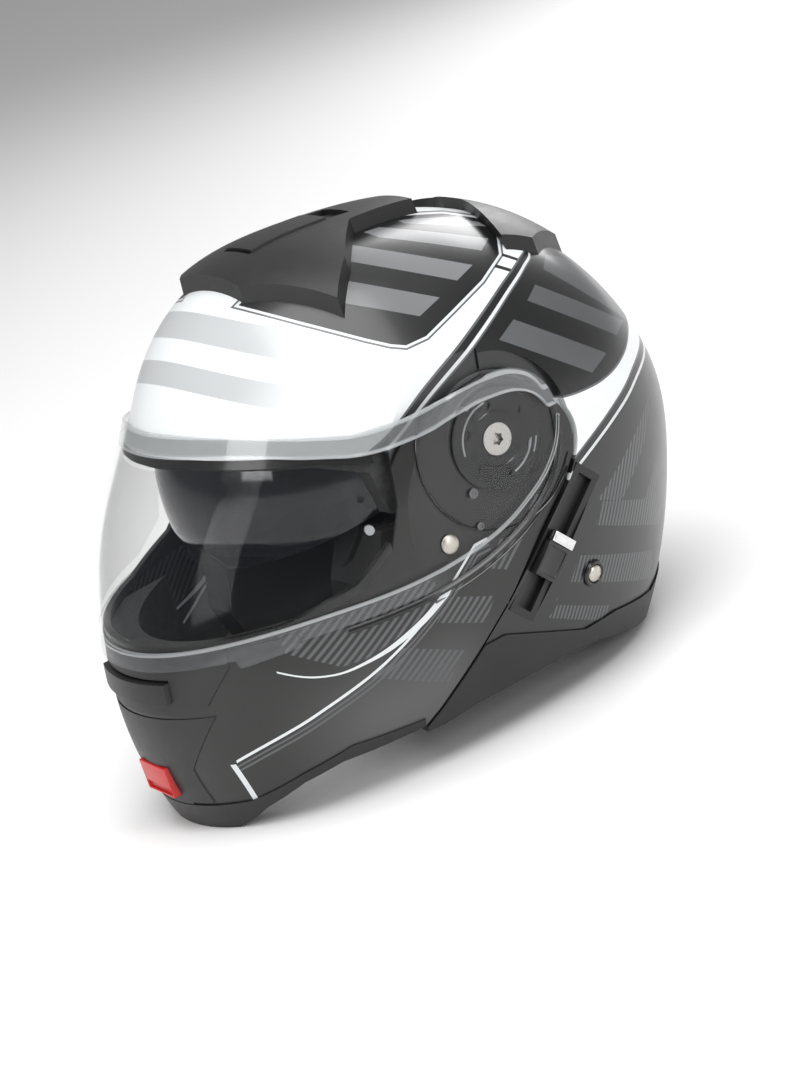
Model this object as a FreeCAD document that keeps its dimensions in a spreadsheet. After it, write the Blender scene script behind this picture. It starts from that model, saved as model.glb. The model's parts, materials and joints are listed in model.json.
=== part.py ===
import FreeCAD, Part
import math
import os
import Sketcher

# A flip-up (modular) motorcycle helmet. Millimetres, +Z up, front along -Y, the rider's left along +X.
# It stands on its lower edge at z = 0, with the origin under the middle of its bounding box.
# Side outlines are (y, z) points measured from the chin-bar pivot, drawn on a shell DRAWN_LENGTH long.

V = FreeCAD.Vector
X_AXIS = V(1, 0, 0)
DRAWN_LENGTH = 344.0
STATIONS = 7
FAR = 260.0
# Height of a cut that runs out through the hull from its surface.
OUTSIDE = FAR / 10

SIZES = [
    ("shell_length", 344.0, "front of the chin to the back of the shell"),
    ("shell_half_width", 123.5, "half width of the hull, before its side flats"),
    ("hull_power", 2.05, "power of the superellipse across the hull"),
    ("pivot_back", 16.5, "pivot axis behind the origin"),
    ("pivot_height", 151.0, "pivot axis above the base"),
    ("flat_inset", 3.0, "side flat of a plain layer inside its half width"),
    ("shell_wall", 4.0, "outer shell thickness"),
    ("chin_wall", 3.2, "chin bar shell thickness"),
    ("arm_edge_wall", 1.5, "thinned upper edge of the chin bar's arms"),
    ("arm_inset", 6.5, "outer face of the chin bar arm inside the half width"),
    ("pocket_gap", 2.3, "chin bar arm to the seat of its steel plate"),
    ("arm_gap", 0.9, "chin bar arm to the shell that it swings over"),
    ("pocket_radius", 43.5, "pocket round the chin bar arm"),
    ("pocket_sweep_radius", 62.0, "pocket above the pivot, where the arm swings"),
    ("pocket_wall_radius", 50.0, "outside of the pocket's wall"),
    ("pocket_front_radius", 58.0, "forward edge of the pocket floor"),
    ("split_gap", 1.0, "joint line between the shell and the chin bar"),
    ("trim_proud", 1.0, "lower trims stand out from the hull"),
    ("trim_depth", 6.0, "lower trims reach into the hull"),
    ("gasket_depth", 4.2, "gasket below the hull surface"),
    ("visor_gap", 1.2, "visor above the hull"),
    ("visor_wall", 2.2, "visor thickness"),
    ("tab_rise", 2.0, "visor's finger tab above its surface"),
    ("visor_standoff", 2.6, "visor arm above the chin bar arm"),
    ("hub_radius", 28.5, "outside of the visor's hub ring"),
    ("plate_radius", 25.9, "visor plate that the hub ring turns on"),
    ("plate_wall", 1.6, "visor plate thickness"),
    ("running_gap", 0.1, "radial clearance of a turning fit"),
    ("base_plate_radius", 34.0, "steel plate on the pocket floor"),
    ("base_plate_wall", 1.2, "steel plate thickness"),
    ("detent_radius", 2.2, "detent holes of the steel plate"),
    ("detent_pitch", 25.0, "detent holes from the pivot"),
    ("screw_radius", 4.0, "pivot screw thread"),
    ("shoulder_radius", 6.0, "pivot screw shoulder"),
    ("screw_head_radius", 8.2, "pivot screw head"),
    ("screw_head_wall", 1.9, "pivot screw head thickness"),
    ("screw_drive", 3.6, "drive recess across its corners, halved"),
    ("screw_tail", 2.0, "screw thread behind the pocket floor"),
    ("relief_radius", 90.0, "space behind the pocket floor in the linings"),
    ("liner_gap", 0.3, "impact liner to the shell"),
    ("liner_inside", 38.0, "inside of the impact liner below the hull"),
    ("crown_pad_wall", 7.0, "comfort lining thickness"),
    ("soft_gap", 0.3, "soft pieces to what lies next to them"),
    ("pad_inner_x", 60.0, "inner face of a cheek pad"),
    ("pad_latch_x", 87.0, "cheek pad beside the latch"),
    ("chin_liner_depth", 21.0, "inside of the chin liner below the hull"),
    ("chin_liner_half_width", 76.0, "half width of the chin liner"),
    ("sun_visor_radius", 104.0, "sun visor from its own axis"),
    ("sun_visor_wall", 2.2, "sun visor thickness"),
    ("sun_visor_half_width", 100.0, "half width over the sun visor's arms"),
    ("sun_visor_span", 47.0, "angle that the sun visor covers"),
    ("sun_visor_back", -20.0, "sun visor axis behind the pivot"),
    ("sun_visor_rise", -5.0, "sun visor axis above the pivot"),
    ("sun_visor_top", 147.0, "angle of its top edge when lowered"),
    ("sun_visor_slot", 1.2, "free space on each side of the sun visor"),
    ("sun_pin_radius", 4.0, "sun visor hinge pins"),
    ("rail_length", 82.0, "slider rail"),
    ("rail_width", 18.0, "slider rail"),
    ("rail_depth", 6.0, "slider rail"),
    ("rail_sunk", 1.6, "rail face below the hull"),
    ("groove_length", 74.0, "groove in the rail"),
    ("groove_width", 10.0, "groove in the rail"),
    ("groove_depth", 3.5, "groove in the rail"),
    ("slider_length", 24.0, "sun visor slider"),
    ("slider_width", 16.0, "sun visor slider"),
    ("slider_rise", 5.0, "slider above the rail face"),
    ("slider_gap", 0.1, "slider to its rail"),
    ("slider_rest", 7.0, "slider below the middle of its rail, sun visor lowered"),
    ("panel_proud", 0.8, "chin panels above the hull"),
    ("panel_depth", 1.6, "chin panels below the hull"),
    ("button_half_width", 15.0, "chin release button"),
    ("button_half_height", 8.5, "chin release button"),
    ("button_drop", 121.5, "button centre below the pivot"),
    ("button_gap", 0.3, "button to its housing"),
    ("button_back", 12.0, "depth of the button"),
    ("button_travel", 4.0, "free space behind the button"),
    ("housing_rim", 5.5, "housing round the button"),
    ("post_radius", 3.0, "latch posts and hook pins"),
    ("hook_wall", 3.0, "latch hook thickness"),
    ("hook_x", 90.0, "inner face of the latch hooks"),
    ("vent_height", 8.0, "top vent above the hull"),
    ("vent_flare", 0.2, "slope of the vent's sides, as a share of its outline"),
    ("track_floor", 5.0, "shutter track above the hull"),
    ("track_half_width", 14.0, "shutter track"),
    ("shutter_gap", 0.3, "vent shutters to their tracks"),
    ("exhaust_height", 6.0, "rear exhaust above the hull"),
    ("stud_radius", 5.0, "round studs on the sides"),
    ("stud_depth", 3.0, "studs below the hull"),
    ("stud_rise", 1.2, "studs of the shell above the hull"),
    ("chin_stud_rise", 1.6, "studs of the chin bar above its arms, under the visor"),
    ("pinlock_radius", 2.4, "anti-fog lens pins"),
    ("pinlock_wall", 0.8, "anti-fog lens thickness"),
    ("strap_width", 24.0, "chin strap webbing"),
    ("strap_wall", 2.0, "chin strap webbing"),
    ("strap_low", 118.0, "lowest point of the chin strap below the pivot"),
    ("strap_back", 6.0, "chin strap behind the pivot"),
    ("strap_end_inset", 17.5, "strap ends inside the hull's half width"),
    ("rivet_gap", 0.6, "strap's end to the shank of its rivet"),
    ("strap_end_drop", 92.0, "strap rivets below the pivot"),
    ("rivet_radius", 4.0, "strap rivets"),
    ("buckle_length", 44.0, "ratchet buckle"),
    ("buckle_width", 27.0, "ratchet buckle"),
    ("buckle_height", 9.0, "ratchet buckle"),
    ("buckle_wall", 1.5, "ratchet buckle sheet"),
    ("lever_length", 26.0, "ratchet buckle lever"),
    ("lever_wall", 2.0, "ratchet buckle lever"),
]

doc = FreeCAD.newDocument("flip_up_helmet")
sheet = doc.addObject("Spreadsheet::Sheet", "Sizes")
for row, (alias, value, meaning) in enumerate(SIZES, start=1):
    sheet.set(f"A{row}", meaning)
    sheet.set(f"B{row}", str(value))
    sheet.setAlias(f"B{row}", alias)
doc.recompute()

nodes = []


def size(alias):
    """The number in the sheet's cell of that name."""
    return float(sheet.get(alias))


RATIO = size("shell_length") / DRAWN_LENGTH
PIVOT = V(0, size("pivot_back"), size("pivot_height"))
ARM_OUT = size("shell_half_width") - size("arm_inset")
ARM_IN = ARM_OUT - size("chin_wall")
FLOOR = ARM_IN - size("pocket_gap")
STRAP_END = size("shell_half_width") - size("strap_end_inset")
FLOOR_BACK = FLOOR - size("shell_wall")
VISOR_IN = ARM_OUT + size("visor_standoff")
VISOR_OUT = VISOR_IN + size("visor_wall")

# Side outline of the hull, clockwise from the back.
HULL = [(153, -18), (132, 35), (84, 84), (0, 105), (-61, 102), (-104, 73), (-131, 36)]
HULL += [(-159, -2), (-180, -54), (-186, -110), (-165, -176), (-40, -229), (83, -181), (143, -88)]
# Joint line at the back of the chin bar, from the arm down to the lower edge.
SPLIT = [(39, -26.5), (29.5, -37.5), (8, -55), (-22, -81), (-43, -98), (-70, -119), (-79, -125)]
# Upper edge of the chin bar, from the front to the round end of its arm.
CHIN_TOP = [(-FAR, -52), (-128, -50), (-92, -42), (-72, -28), (-62, -8), (-58, 10)]
CHIN_TOP += [(-46, 21), (-20, 29), (5, 32)]
# Lower edge of the chin bar's painted shell, from the back to the front.
CHIN_LOW = [(-79, -121), (-117, -119), (-141, -126), (-163, -135), (-FAR, -140)]
# Lower edge of the chin trim.
CHIN_BASE = [(-80, -125), (-123, -126), (-141, -131), (-157, -140), (-168, -151), (-FAR, -151)]
# Edge of the shell above the eyeport, from the front to the pocket.
BROW = [(-FAR, 37), (-130, 37), (-88, 27), (-64, 19), (-46, 26), (-20, 34), (0, 36)]
# Upper edge of the lower trim, and the lower edge itself, from the joint line to the back.
TRIM_TOP = [(-44, -97), (-27, -97), (-7, -106), (23, -120), (47, -122), (85, -132)]
TRIM_TOP += [(109, -130), (FAR, -128)]
TRIM_BASE = [(-70, -129), (-48, -126), (4, -127), (33, -132), (60, -142), (88, -151), (FAR, -151)]
# Outline of the visor: top edge, round end, lower edge.
VISOR_TOP = [(-FAR, 48), (-123, 47), (-86, 36), (-68, 31), (-44, 30), (-17, 32), (2, 32)]
VISOR_LOW = [(-61, -55), (-125, -55), (-181, -58), (-FAR, -58)]


# ---------------------------------------------------------------- geometry helpers

def side_point(y, z, x=0.0):
    """Point of a side outline in the part's frame."""
    return V(x, PIVOT.y + y * RATIO, PIVOT.z + z * RATIO)


def side_curve(grow, shrink, x):
    """Closed curve of the hull, grown by `grow` and scaled about the pivot by `shrink`."""
    points = []
    for y, z in HULL:
        radius = math.hypot(y, z) * RATIO
        factor = (1 + grow / radius) * shrink
        points.append(side_point(y * factor, z * factor, x))
    curve = Part.BSplineCurve()
    curve.interpolate(Points=points, PeriodicFlag=True)
    return curve


def across(x, grow):
    """Share of the side outline that is left at x."""
    power = size("hull_power")
    half = size("shell_half_width") + grow
    return (1 - (abs(x) / half) ** power) ** (1 / power)


def hull(grow, flat=None):
    """Solid hull grown by `grow`, cut flat at x = +-flat."""
    if flat is None:
        flat = size("shell_half_width") + grow - size("flat_inset")
    sections = []
    for station in range(-STATIONS, STATIONS + 1):
        x = flat * math.sin(math.pi / 2 * station / STATIONS)
        sections.append(Part.Wire(side_curve(grow, across(x, grow), x).toShape()))
    return Part.makeLoft(sections, True, False)


def layer(outer, inner, outer_flat=None, inner_flat=None):
    """Skin between two grown hulls."""
    return hull(outer, outer_flat).cut(hull(inner, inner_flat))


def reach(y, z, grow=0.0):
    """Distance from the pivot to the hull's middle outline, in the direction (y, z)."""
    far = FAR * 2 / math.hypot(y, z)
    ray = Part.makeLine(PIVOT, PIVOT + V(0, y, z) * far)
    hit = ray.distToShape(side_curve(grow, 1.0, 0.0).toShape())[1][0][0]
    return (hit - PIVOT).Length


def hull_x(y, z, grow=0.0):
    """Half width of the grown hull at (y, z) from the pivot."""
    power = size("hull_power")
    share = math.hypot(y, z) / reach(y, z, grow)
    return (size("shell_half_width") + grow) * (1 - share ** power) ** (1 / power)


def hull_normal(y, z):
    """Outward direction of the hull's left side at (y, z) from the pivot."""
    step = 1.0
    by_y = (hull_x(y + step, z) - hull_x(y - step, z)) / (2 * step)
    by_z = (hull_x(y, z + step) - hull_x(y, z - step)) / (2 * step)
    return V(1, -by_y, -by_z).normalize()


def outward(solid):
    """The solid with its faces turned outwards."""
    return solid if solid.Volume > 0 else solid.reversed()


def prism(points, low=-FAR, high=FAR):
    """Side outline extruded along X; a step of two points is an arc through the first of them."""
    here = side_point(*points[0], low)
    start = here
    edges = []
    for step in points[1:]:
        if isinstance(step[0], tuple):
            middle, end = (side_point(*point, low) for point in step)
            edges.append(Part.Arc(here, middle, end).toShape())
            here = end
        else:
            end = side_point(*step, low)
            edges.append(Part.makeLine(here, end))
            here = end
    edges.append(Part.makeLine(here, start))
    return outward(Part.Face(Part.Wire(edges)).extrude(V(high - low, 0, 0)))


def front_prism(points, back=-100.0):
    """(x, z) outline extruded along Y over the front of the helmet."""
    corners = [V(x, -FAR, PIVOT.z + z * RATIO) for x, z in points]
    depth = FAR + PIVOT.y + back * RATIO
    return outward(Part.Face(Part.makePolygon(corners + corners[:1])).extrude(V(0, depth, 0)))


def top_prism(points, flare=0.0):
    """(x, y) outline carried upwards over the crown, wider below and narrower above by `flare`."""
    middle_y = sum(y for _, y in points) / len(points)
    wires = []
    for height, grow in ((PIVOT.z, 1 + flare), (PIVOT.z + FAR, 1 - flare)):
        grown = [(x * grow, middle_y + (y - middle_y) * grow) for x, y in points]
        corners = [V(x, PIVOT.y + y * RATIO, height) for x, y in grown]
        wires.append(Part.makePolygon(corners + corners[:1]))
    return outward(Part.makeLoft(wires, True, True))


def disc(radius, low, high, y=0.0, z=0.0):
    """Cylinder along X about a point given from the pivot."""
    return Part.makeCylinder(radius, high - low, PIVOT + V(low, y, z), X_AXIS)


def both(shape):
    """The shape and its mirror image on the other side."""
    return shape.fuse(mirrored(shape))


def mirrored(shape):
    return shape.mirror(V(0, 0, 0), X_AXIS)


def span(x_low, x_high):
    """Everything between two planes across X."""
    return Part.makeBox(x_high - x_low, 2 * FAR, 2 * FAR, V(x_low, -FAR, -FAR + PIVOT.z))


def shifted(points, y, z):
    """Outline moved as a whole."""
    return [(point[0] + y, point[1] + z) for point in points]


def main_solid(shape):
    """The largest solid, without slivers that a cut left loose."""
    return max(shape.Solids, key=lambda solid: solid.Volume)


def piece(label, shape):
    """Sub-part whose shape comes from the hull."""
    node = doc.addObject("Part::Feature", label)
    node.Label = label
    node.Shape = main_solid(shape)
    node.Placement = FreeCAD.Placement()
    nodes.append(node)
    return node


def compound(label, shapes):
    """Identical small pieces that share a node as separate solids."""
    node = doc.addObject("Part::Feature", label)
    node.Label = label
    node.Shape = Part.makeCompound(shapes)
    node.Placement = FreeCAD.Placement()
    nodes.append(node)
    return node


# ---------------------------------------------------------------- sketch helpers

def new_body(label, base, rotation=FreeCAD.Rotation()):
    """Empty body at a place in the part's frame."""
    body = doc.addObject("PartDesign::Body", label)
    body.Label = label
    body.Placement = FreeCAD.Placement(base, rotation)
    nodes.append(body)
    return body


def side_turn(side):
    """Rotation that points a body's Z out of the helmet's left (1) or right (-1) side."""
    return FreeCAD.Rotation(V(0, 1, 0), 90 * side)


def sketch(body, name, offset="0", role="XY_Plane"):
    """Sketch on one of the body's own planes, `offset` above it."""
    made = body.newObject("Sketcher::SketchObject", name)
    origin_plane = next(part for part in body.Origin.OriginFeatures if part.Role == role)
    made.AttachmentSupport = [(origin_plane, "")]
    made.MapMode = "FlatFace"
    made.setExpression("AttachmentOffset.Base.z", offset)
    return made


def drive(target, constraint, value, expression):
    """Dimension of a sketch that follows an expression."""
    index = target.addConstraint(Sketcher.Constraint(*constraint, value))
    target.setExpression(f"Constraints[{index}]", expression)


def pin_point(target, geometry, point, u, v):
    """Holds a point of the sketch at (u, v)."""
    for name, axis, value in (("DistanceX", -2, u), ("DistanceY", -1, v)):
        if abs(value) < 1e-9:
            target.addConstraint(Sketcher.Constraint("PointOnObject", geometry, point, axis))
        else:
            target.addConstraint(Sketcher.Constraint(name, -1, 1, geometry, point, value))


def circle(target, expression, value, u=0.0, v=0.0):
    """Circle whose radius follows an expression."""
    index = target.addGeometry(Part.Circle(V(u, v, 0), V(0, 0, 1), value), False)
    pin_point(target, index, 3, u, v)
    drive(target, ("Radius", index), value, expression)


def along_outline(start, end, half):
    """Rectangle of a sketch from start to end along it, and half the width to each side."""
    return [(start, -half), (end, -half), (end, half), (start, half)]


def rectangle(target, width, height, u=0.0, v=0.0):
    """Rectangle about (u, v), with its two sizes as sheet names."""
    half_w = size(width) / 2
    half_h = size(height) / 2
    ends = ((-1, -1), (1, -1), (1, 1), (-1, 1))
    corners = [V(u + half_w * a, v + half_h * b) for a, b in ends]
    first = target.GeometryCount
    for number in range(4):
        target.addGeometry(Part.LineSegment(corners[number], corners[(number + 1) % 4]), False)
    for number in range(4):
        after = first + (number + 1) % 4
        target.addConstraint(Sketcher.Constraint("Coincident", first + number, 2, after, 1))
        kind = "Horizontal" if number % 2 == 0 else "Vertical"
        target.addConstraint(Sketcher.Constraint(kind, first + number))
    drive(target, ("DistanceX", first, 1, first, 2), 2 * half_w, f"Sizes.{width}")
    drive(target, ("DistanceY", first + 1, 1, first + 1, 2), 2 * half_h, f"Sizes.{height}")
    middle = target.addGeometry(Part.Point(V(u, v, 0)), True)
    pin_point(target, middle, 1, u, v)
    target.addConstraint(Sketcher.Constraint("Symmetric", first, 1, first + 1, 2, middle, 1))


def polygon(target, points):
    """Closed straight outline."""
    first = target.GeometryCount
    count = len(points)
    for number in range(count):
        start = V(*points[number], 0)
        end = V(*points[(number + 1) % count], 0)
        target.addGeometry(Part.LineSegment(start, end), False)
    for number in range(count):
        after = first + (number + 1) % count
        target.addConstraint(Sketcher.Constraint("Coincident", first + number, 2, after, 1))
        target.addConstraint(Sketcher.Constraint("Block", first + number))


def pad(body, name, profile, length, reverse=False):
    """Pad of a sketch, `length` as an expression."""
    made = body.newObject("PartDesign::Pad", name)
    made.Profile = profile
    made.setExpression("Length", length)
    made.Reversed = reverse
    doc.recompute()
    return made


def pocket(body, name, profile, length, reverse=False):
    """Pocket of a sketch into the body, checked to have removed something."""
    before = body.Shape.Volume
    made = body.newObject("PartDesign::Pocket", name)
    made.Profile = profile
    made.setExpression("Length", length)
    made.Reversed = reverse
    doc.recompute()
    if body.Shape.Volume > before - 1e-3:
        raise RuntimeError(f"{name} cuts nothing")
    return made


def around(body, name, feature, count):
    """Polar pattern of a feature about the body's Z axis."""
    made = body.newObject("PartDesign::PolarPattern", name)
    made.Originals = [feature]
    axis = next(part for part in body.Origin.OriginFeatures if part.Role == "Z_Axis")
    made.Axis = (axis, [""])
    made.Angle = 360
    made.Occurrences = count
    body.Tip = made
    doc.recompute()
    return made


# ---------------------------------------------------------------- tools shared by several pieces

ROUND_END = [((29, 17), (40, 1)), ((43.2, -12), (39, -26.5))]
chin_outline = CHIN_TOP + ROUND_END + SPLIT[1:] + CHIN_LOW
chin_region = prism(chin_outline)
SPLIT_SIDE = (0.64 * size("split_gap"), -0.77 * size("split_gap"))
shell_split = shifted(SPLIT, *SPLIT_SIDE)
# Everything in front of the joint line and below the brow belongs to the face opening and chin bar.
face_region = prism(BROW + [(30, 0)] + shell_split + [(-84, -200), (-FAR, -200)])
base_region = prism(TRIM_TOP + [(FAR, -FAR), (-100, -FAR), (-100, -97)])
below_trim = prism(TRIM_BASE + [(FAR, -FAR), (-150, -FAR), (-150, -129)])


def pocket_space(low, high):
    """Space that the chin bar's arm needs, outside the pocket floor."""
    seat = disc(size("base_plate_radius") + 1, low, high)
    step = ARM_IN - size("arm_gap")
    round_end = disc(size("pocket_radius"), step, high)
    sweep = disc(size("pocket_sweep_radius"), low, high)
    wedge = prism([(0, 0), (12, 70), (-90, 90), (-110, -10), (-90, -90), (-20, -90)], low, high)
    arm_end = [(0, 0), (41.3, 2), ((45.3, -12), shell_split[0])]
    bulge = prism(arm_end + shell_split[1:4], step, high)
    return seat.fuse([round_end, sweep.common(wedge), bulge])


def pocket_block():
    """Floor and wall of the pocket in the shell's left side, before the pocket is cut."""
    floor = disc(size("pocket_wall_radius"), FLOOR_BACK, ARM_OUT + size("arm_inset"))
    front_floor = disc(size("pocket_front_radius"), FLOOR_BACK, FLOOR).common(
        prism([(10, 90), (-90, 90), (-90, -90), (10, -90)], FLOOR_BACK, FLOOR)
    )
    riser_points = SPLIT[:4] + [(-17, -87), (13, -61), (34, -42), (46, -29)]
    riser = prism(riser_points, FLOOR_BACK, ARM_OUT + size("arm_inset"))
    web = prism([(-50, -20), (40, -26), (29, -37), (8, -55), (-10, -71), (-44, -58)], FLOOR_BACK, FLOOR)
    return floor.fuse([front_floor, riser, web])


# Slider rail: it lies along the joint line, a little behind it, on the left side.
RAIL_SPOT = (14.5, -64.5)
rail_normal = hull_normal(*RAIL_SPOT)
rail_along = V(0, -0.742, -0.670)
rail_along = (rail_along - rail_normal * rail_along.dot(rail_normal)).normalize()
rail_across = rail_normal.cross(rail_along)
rail_turn = FreeCAD.Rotation(rail_along, rail_across, rail_normal, "ZXY")
rail_face = PIVOT + V(hull_x(*RAIL_SPOT), *RAIL_SPOT) - rail_normal * size("rail_sunk")


def rail_space(margin, outward):
    """Block that the rail fills, grown by a margin and carried outwards."""
    length = size("rail_length") + 2 * margin
    width = size("rail_width") + 2 * margin
    depth = size("rail_depth") + margin
    block = Part.makeBox(length, width, depth + outward, V(-length / 2, -width / 2, -depth))
    block.Placement = FreeCAD.Placement(rail_face, rail_turn)
    return block


# ---------------------------------------------------------------- shell and its trims

def outer_shell():
    """Outer shell with the face opening, the arm pockets and the slider opening."""
    wall = size("shell_wall")
    sockets = [both(stud(SHELL_STUD, size("stud_rise"))), both(strap_rivet())]
    block = both(pocket_block()).common(hull(0))
    shell = layer(0, -wall).cut(sockets).cut(face_region).cut(base_region)
    shell = shell.fuse(block).cut(both(pocket_space(FLOOR, FAR)))
    gap = size("arm_gap")
    chin_space = hull(1, VISOR_IN).cut(hull(-size("chin_wall") - gap, ARM_IN - gap))
    shell = shell.cut(chin_space.common(chin_region))
    shell = shell.cut(rail_space(0, OUTSIDE))
    sun_axis = (size("sun_visor_back"), size("sun_visor_rise"))
    holes = disc(size("screw_radius"), FLOOR_BACK - 1, FLOOR + 1)
    holes = holes.fuse(disc(size("sun_pin_radius"), FLOOR_BACK - 1, FLOOR + 1, *sun_axis))
    return piece("outer_shell", main_solid(shell.cut(both(holes))))


def shell_base_trim():
    """Lower edge trim round the neck opening; the helmet rests on its back corners."""
    trim = layer(size("trim_proud"), -size("trim_depth"))
    trim = trim.common(base_region).cut(below_trim).cut(face_region).cut(rail_space(0, OUTSIDE))
    return piece("shell_base_trim", trim.cut(both(latch_post())))


def eyeport_gasket():
    """Rubber strip along the shell's edge above the eyeport."""
    band = BROW[:4] + shifted(BROW[3::-1], 0, -4.5)
    strip = layer(0, -size("gasket_depth")).common(prism(band))
    return piece("eyeport_gasket", strip)


def base_plate(name, side):
    """Steel plate with detent holes on the pocket floor."""
    body = new_body(f"base_plate_{name}", PIVOT, side_turn(side))
    outline = sketch(body, f"plate_outline_{name}", f"{FLOOR}")
    circle(outline, "Sizes.base_plate_radius", size("base_plate_radius"))
    circle(outline, "Sizes.shoulder_radius", size("shoulder_radius"))
    pad(body, f"plate_pad_{name}", outline, "Sizes.base_plate_wall")
    detent = sketch(body, f"detent_{name}", f"{FLOOR} + Sizes.base_plate_wall")
    circle(detent, "Sizes.detent_radius", size("detent_radius"), size("detent_pitch"))
    hole = pocket(body, f"detent_hole_{name}", detent, "Sizes.base_plate_wall")
    around(body, f"detents_{name}", hole, 8)


def pivot_screw(name, side):
    """Shoulder screw that the chin bar turns on."""
    body = new_body(f"pivot_screw_{name}", PIVOT, side_turn(side))
    thread = sketch(body, f"thread_{name}", f"{FLOOR_BACK} - Sizes.screw_tail")
    circle(thread, "Sizes.screw_radius", size("screw_radius"))
    pad(body, f"thread_pad_{name}", thread, "Sizes.shell_wall + Sizes.screw_tail")
    shoulder = sketch(body, f"shoulder_{name}", f"{FLOOR}")
    circle(shoulder, "Sizes.shoulder_radius", size("shoulder_radius"))
    pad(body, f"shoulder_pad_{name}", shoulder, f"{ARM_OUT - FLOOR} + Sizes.running_gap")
    head = sketch(body, f"head_{name}", f"{ARM_OUT} + Sizes.running_gap")
    circle(head, "Sizes.screw_head_radius", size("screw_head_radius"))
    pad(body, f"head_pad_{name}", head, "Sizes.screw_head_wall")
    drive_sketch = sketch(body, f"drive_{name}", f"{ARM_OUT} + Sizes.running_gap + Sizes.screw_head_wall")
    corner = size("screw_drive")
    points = []
    for number in range(12):
        radius = corner if number % 2 == 0 else 0.72 * corner
        angle = math.radians(30 * number)
        points.append((radius * math.cos(angle), radius * math.sin(angle)))
    polygon(drive_sketch, points)
    pocket(body, f"drive_pocket_{name}", drive_sketch, "Sizes.screw_head_wall + 1")


def visor_plate(name, side):
    """Plate on the chin bar's arm that the visor's hub ring turns on."""
    body = new_body(f"visor_plate_{name}", PIVOT, side_turn(side))
    outline = sketch(body, f"visor_plate_outline_{name}", f"{ARM_OUT}")
    circle(outline, "Sizes.plate_radius", size("plate_radius"))
    circle(outline, "Sizes.screw_head_radius + 0.4", size("screw_head_radius") + 0.4)
    pad(body, f"visor_plate_pad_{name}", outline, "Sizes.plate_wall")
    slot = sketch(body, f"visor_plate_slot_{name}", f"{ARM_OUT} + Sizes.plate_wall")
    circle(slot, "Sizes.detent_radius", size("detent_radius"), size("plate_radius") * 0.7)
    hole = pocket(body, f"visor_plate_hole_{name}", slot, "Sizes.plate_wall / 2")
    around(body, f"visor_plate_holes_{name}", hole, 6)


# ---------------------------------------------------------------- vents and studs

TOP_VENT = [(-32, -64), (32, -64), (76, -38), (58, -18), (25, 8), (18, 48)]
TOP_VENT += [(-18, 48), (-25, 8), (-58, -18), (-76, -38)]
EXHAUST = [(0, 78), (14, 81), (65, 67), (62, 84), (33, 113), (-33, 113), (-62, 84), (-65, 67), (-14, 81)]


def track_outline(back, front, half_width):
    return [(-half_width, front), (half_width, front), (half_width, back), (-half_width, back)]


def top_vent():
    """Winged intake on the crown with a shutter that slides back in a track."""
    base = layer(size("vent_height"), 0).common(top_prism(TOP_VENT, size("vent_flare")))
    gap = size("shutter_gap")
    track = layer(OUTSIDE, size("track_floor")).common(
        top_prism(track_outline(16, -46, size("track_half_width") + gap))
    )
    piece("top_vent_base", base.cut(track))
    shutter = layer(size("vent_height") + 1, size("track_floor") + gap).common(
        top_prism(track_outline(2, -44, size("track_half_width")))
    )
    piece("top_vent_shutter", shutter)


def rear_exhaust():
    """Chevron exhaust cover on the back of the crown."""
    cover = layer(size("exhaust_height"), 0).common(top_prism(EXHAUST, size("vent_flare")))
    piece("rear_exhaust_cover", cover)


def stud(spot, rise):
    """Round stud standing in the left side."""
    normal = hull_normal(*spot)
    depth = size("stud_depth")
    foot = PIVOT + V(hull_x(*spot), *spot) - normal * depth
    return Part.makeCylinder(size("stud_radius"), depth + rise, foot, normal)


SHELL_STUD = (34, -92)
CHIN_STUD = (-43, -38)


def chin_stud():
    """Round stud in the left arm of the chin bar."""
    low = ARM_OUT - size("stud_depth")
    high = ARM_OUT + size("chin_stud_rise")
    return disc(size("stud_radius"), low, high, *CHIN_STUD)


# ---------------------------------------------------------------- linings

def sun_visor_region():
    """Free space that the sun visor swings in, from lowered to raised."""
    gap = size("sun_visor_slot")
    outer = sun_visor_profile(gap, -gap - size("sun_visor_wall"))
    axis_point = PIVOT + V(0, size("sun_visor_back"), size("sun_visor_rise"))
    turned = outer.revolve(V(0, 0, 0), X_AXIS, 110)
    turned.Placement = FreeCAD.Placement(axis_point, FreeCAD.Rotation(X_AXIS, 100))
    return turned


def mechanism_space():
    """Space behind the left pocket for its floor, the screw and the sun visor's pin."""
    gap = size("soft_gap")
    behind_floor = disc(size("relief_radius"), FLOOR_BACK - size("screw_tail") - gap, FAR)
    inner = size("sun_visor_half_width") - 5 * gap - size("sun_visor_wall")
    pin = disc(size("sun_pin_radius") + gap, inner, FAR, size("sun_visor_back"), size("sun_visor_rise"))
    return behind_floor.fuse(pin)


def sun_visor_profile(outside, inside):
    """Face between two arcs across the sun visor, in the plane of its axis (local Y is the radius)."""
    radius = size("sun_visor_radius")
    half = size("sun_visor_half_width")
    outer = arc_points(radius + outside, half + outside)
    inner = arc_points(radius + inside, half + inside)
    edges = [Part.Arc(*outer).toShape(), Part.makeLine(outer[2], inner[2])]
    edges += [Part.Arc(*inner).toShape(), Part.makeLine(inner[0], outer[0])]
    return Part.Face(Part.Wire(Part.__sortEdges__(edges)))


def arc_points(radius, half):
    """Three points of the sun visor's arc: right arm, middle, left arm."""
    return V(-half, 8, 0), V(0, radius, 0), V(half, 8, 0)


LINER_OPENING = [(-FAR, 30), (-126, 30), (-86, 20), (-66, 10), (-62, -14), (-40, -22)]
LINER_OPENING += [(-22, -58), (40, -66), (60, -104), (100, -110), (FAR, -114), (FAR, -FAR), (-FAR, -FAR)]


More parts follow.
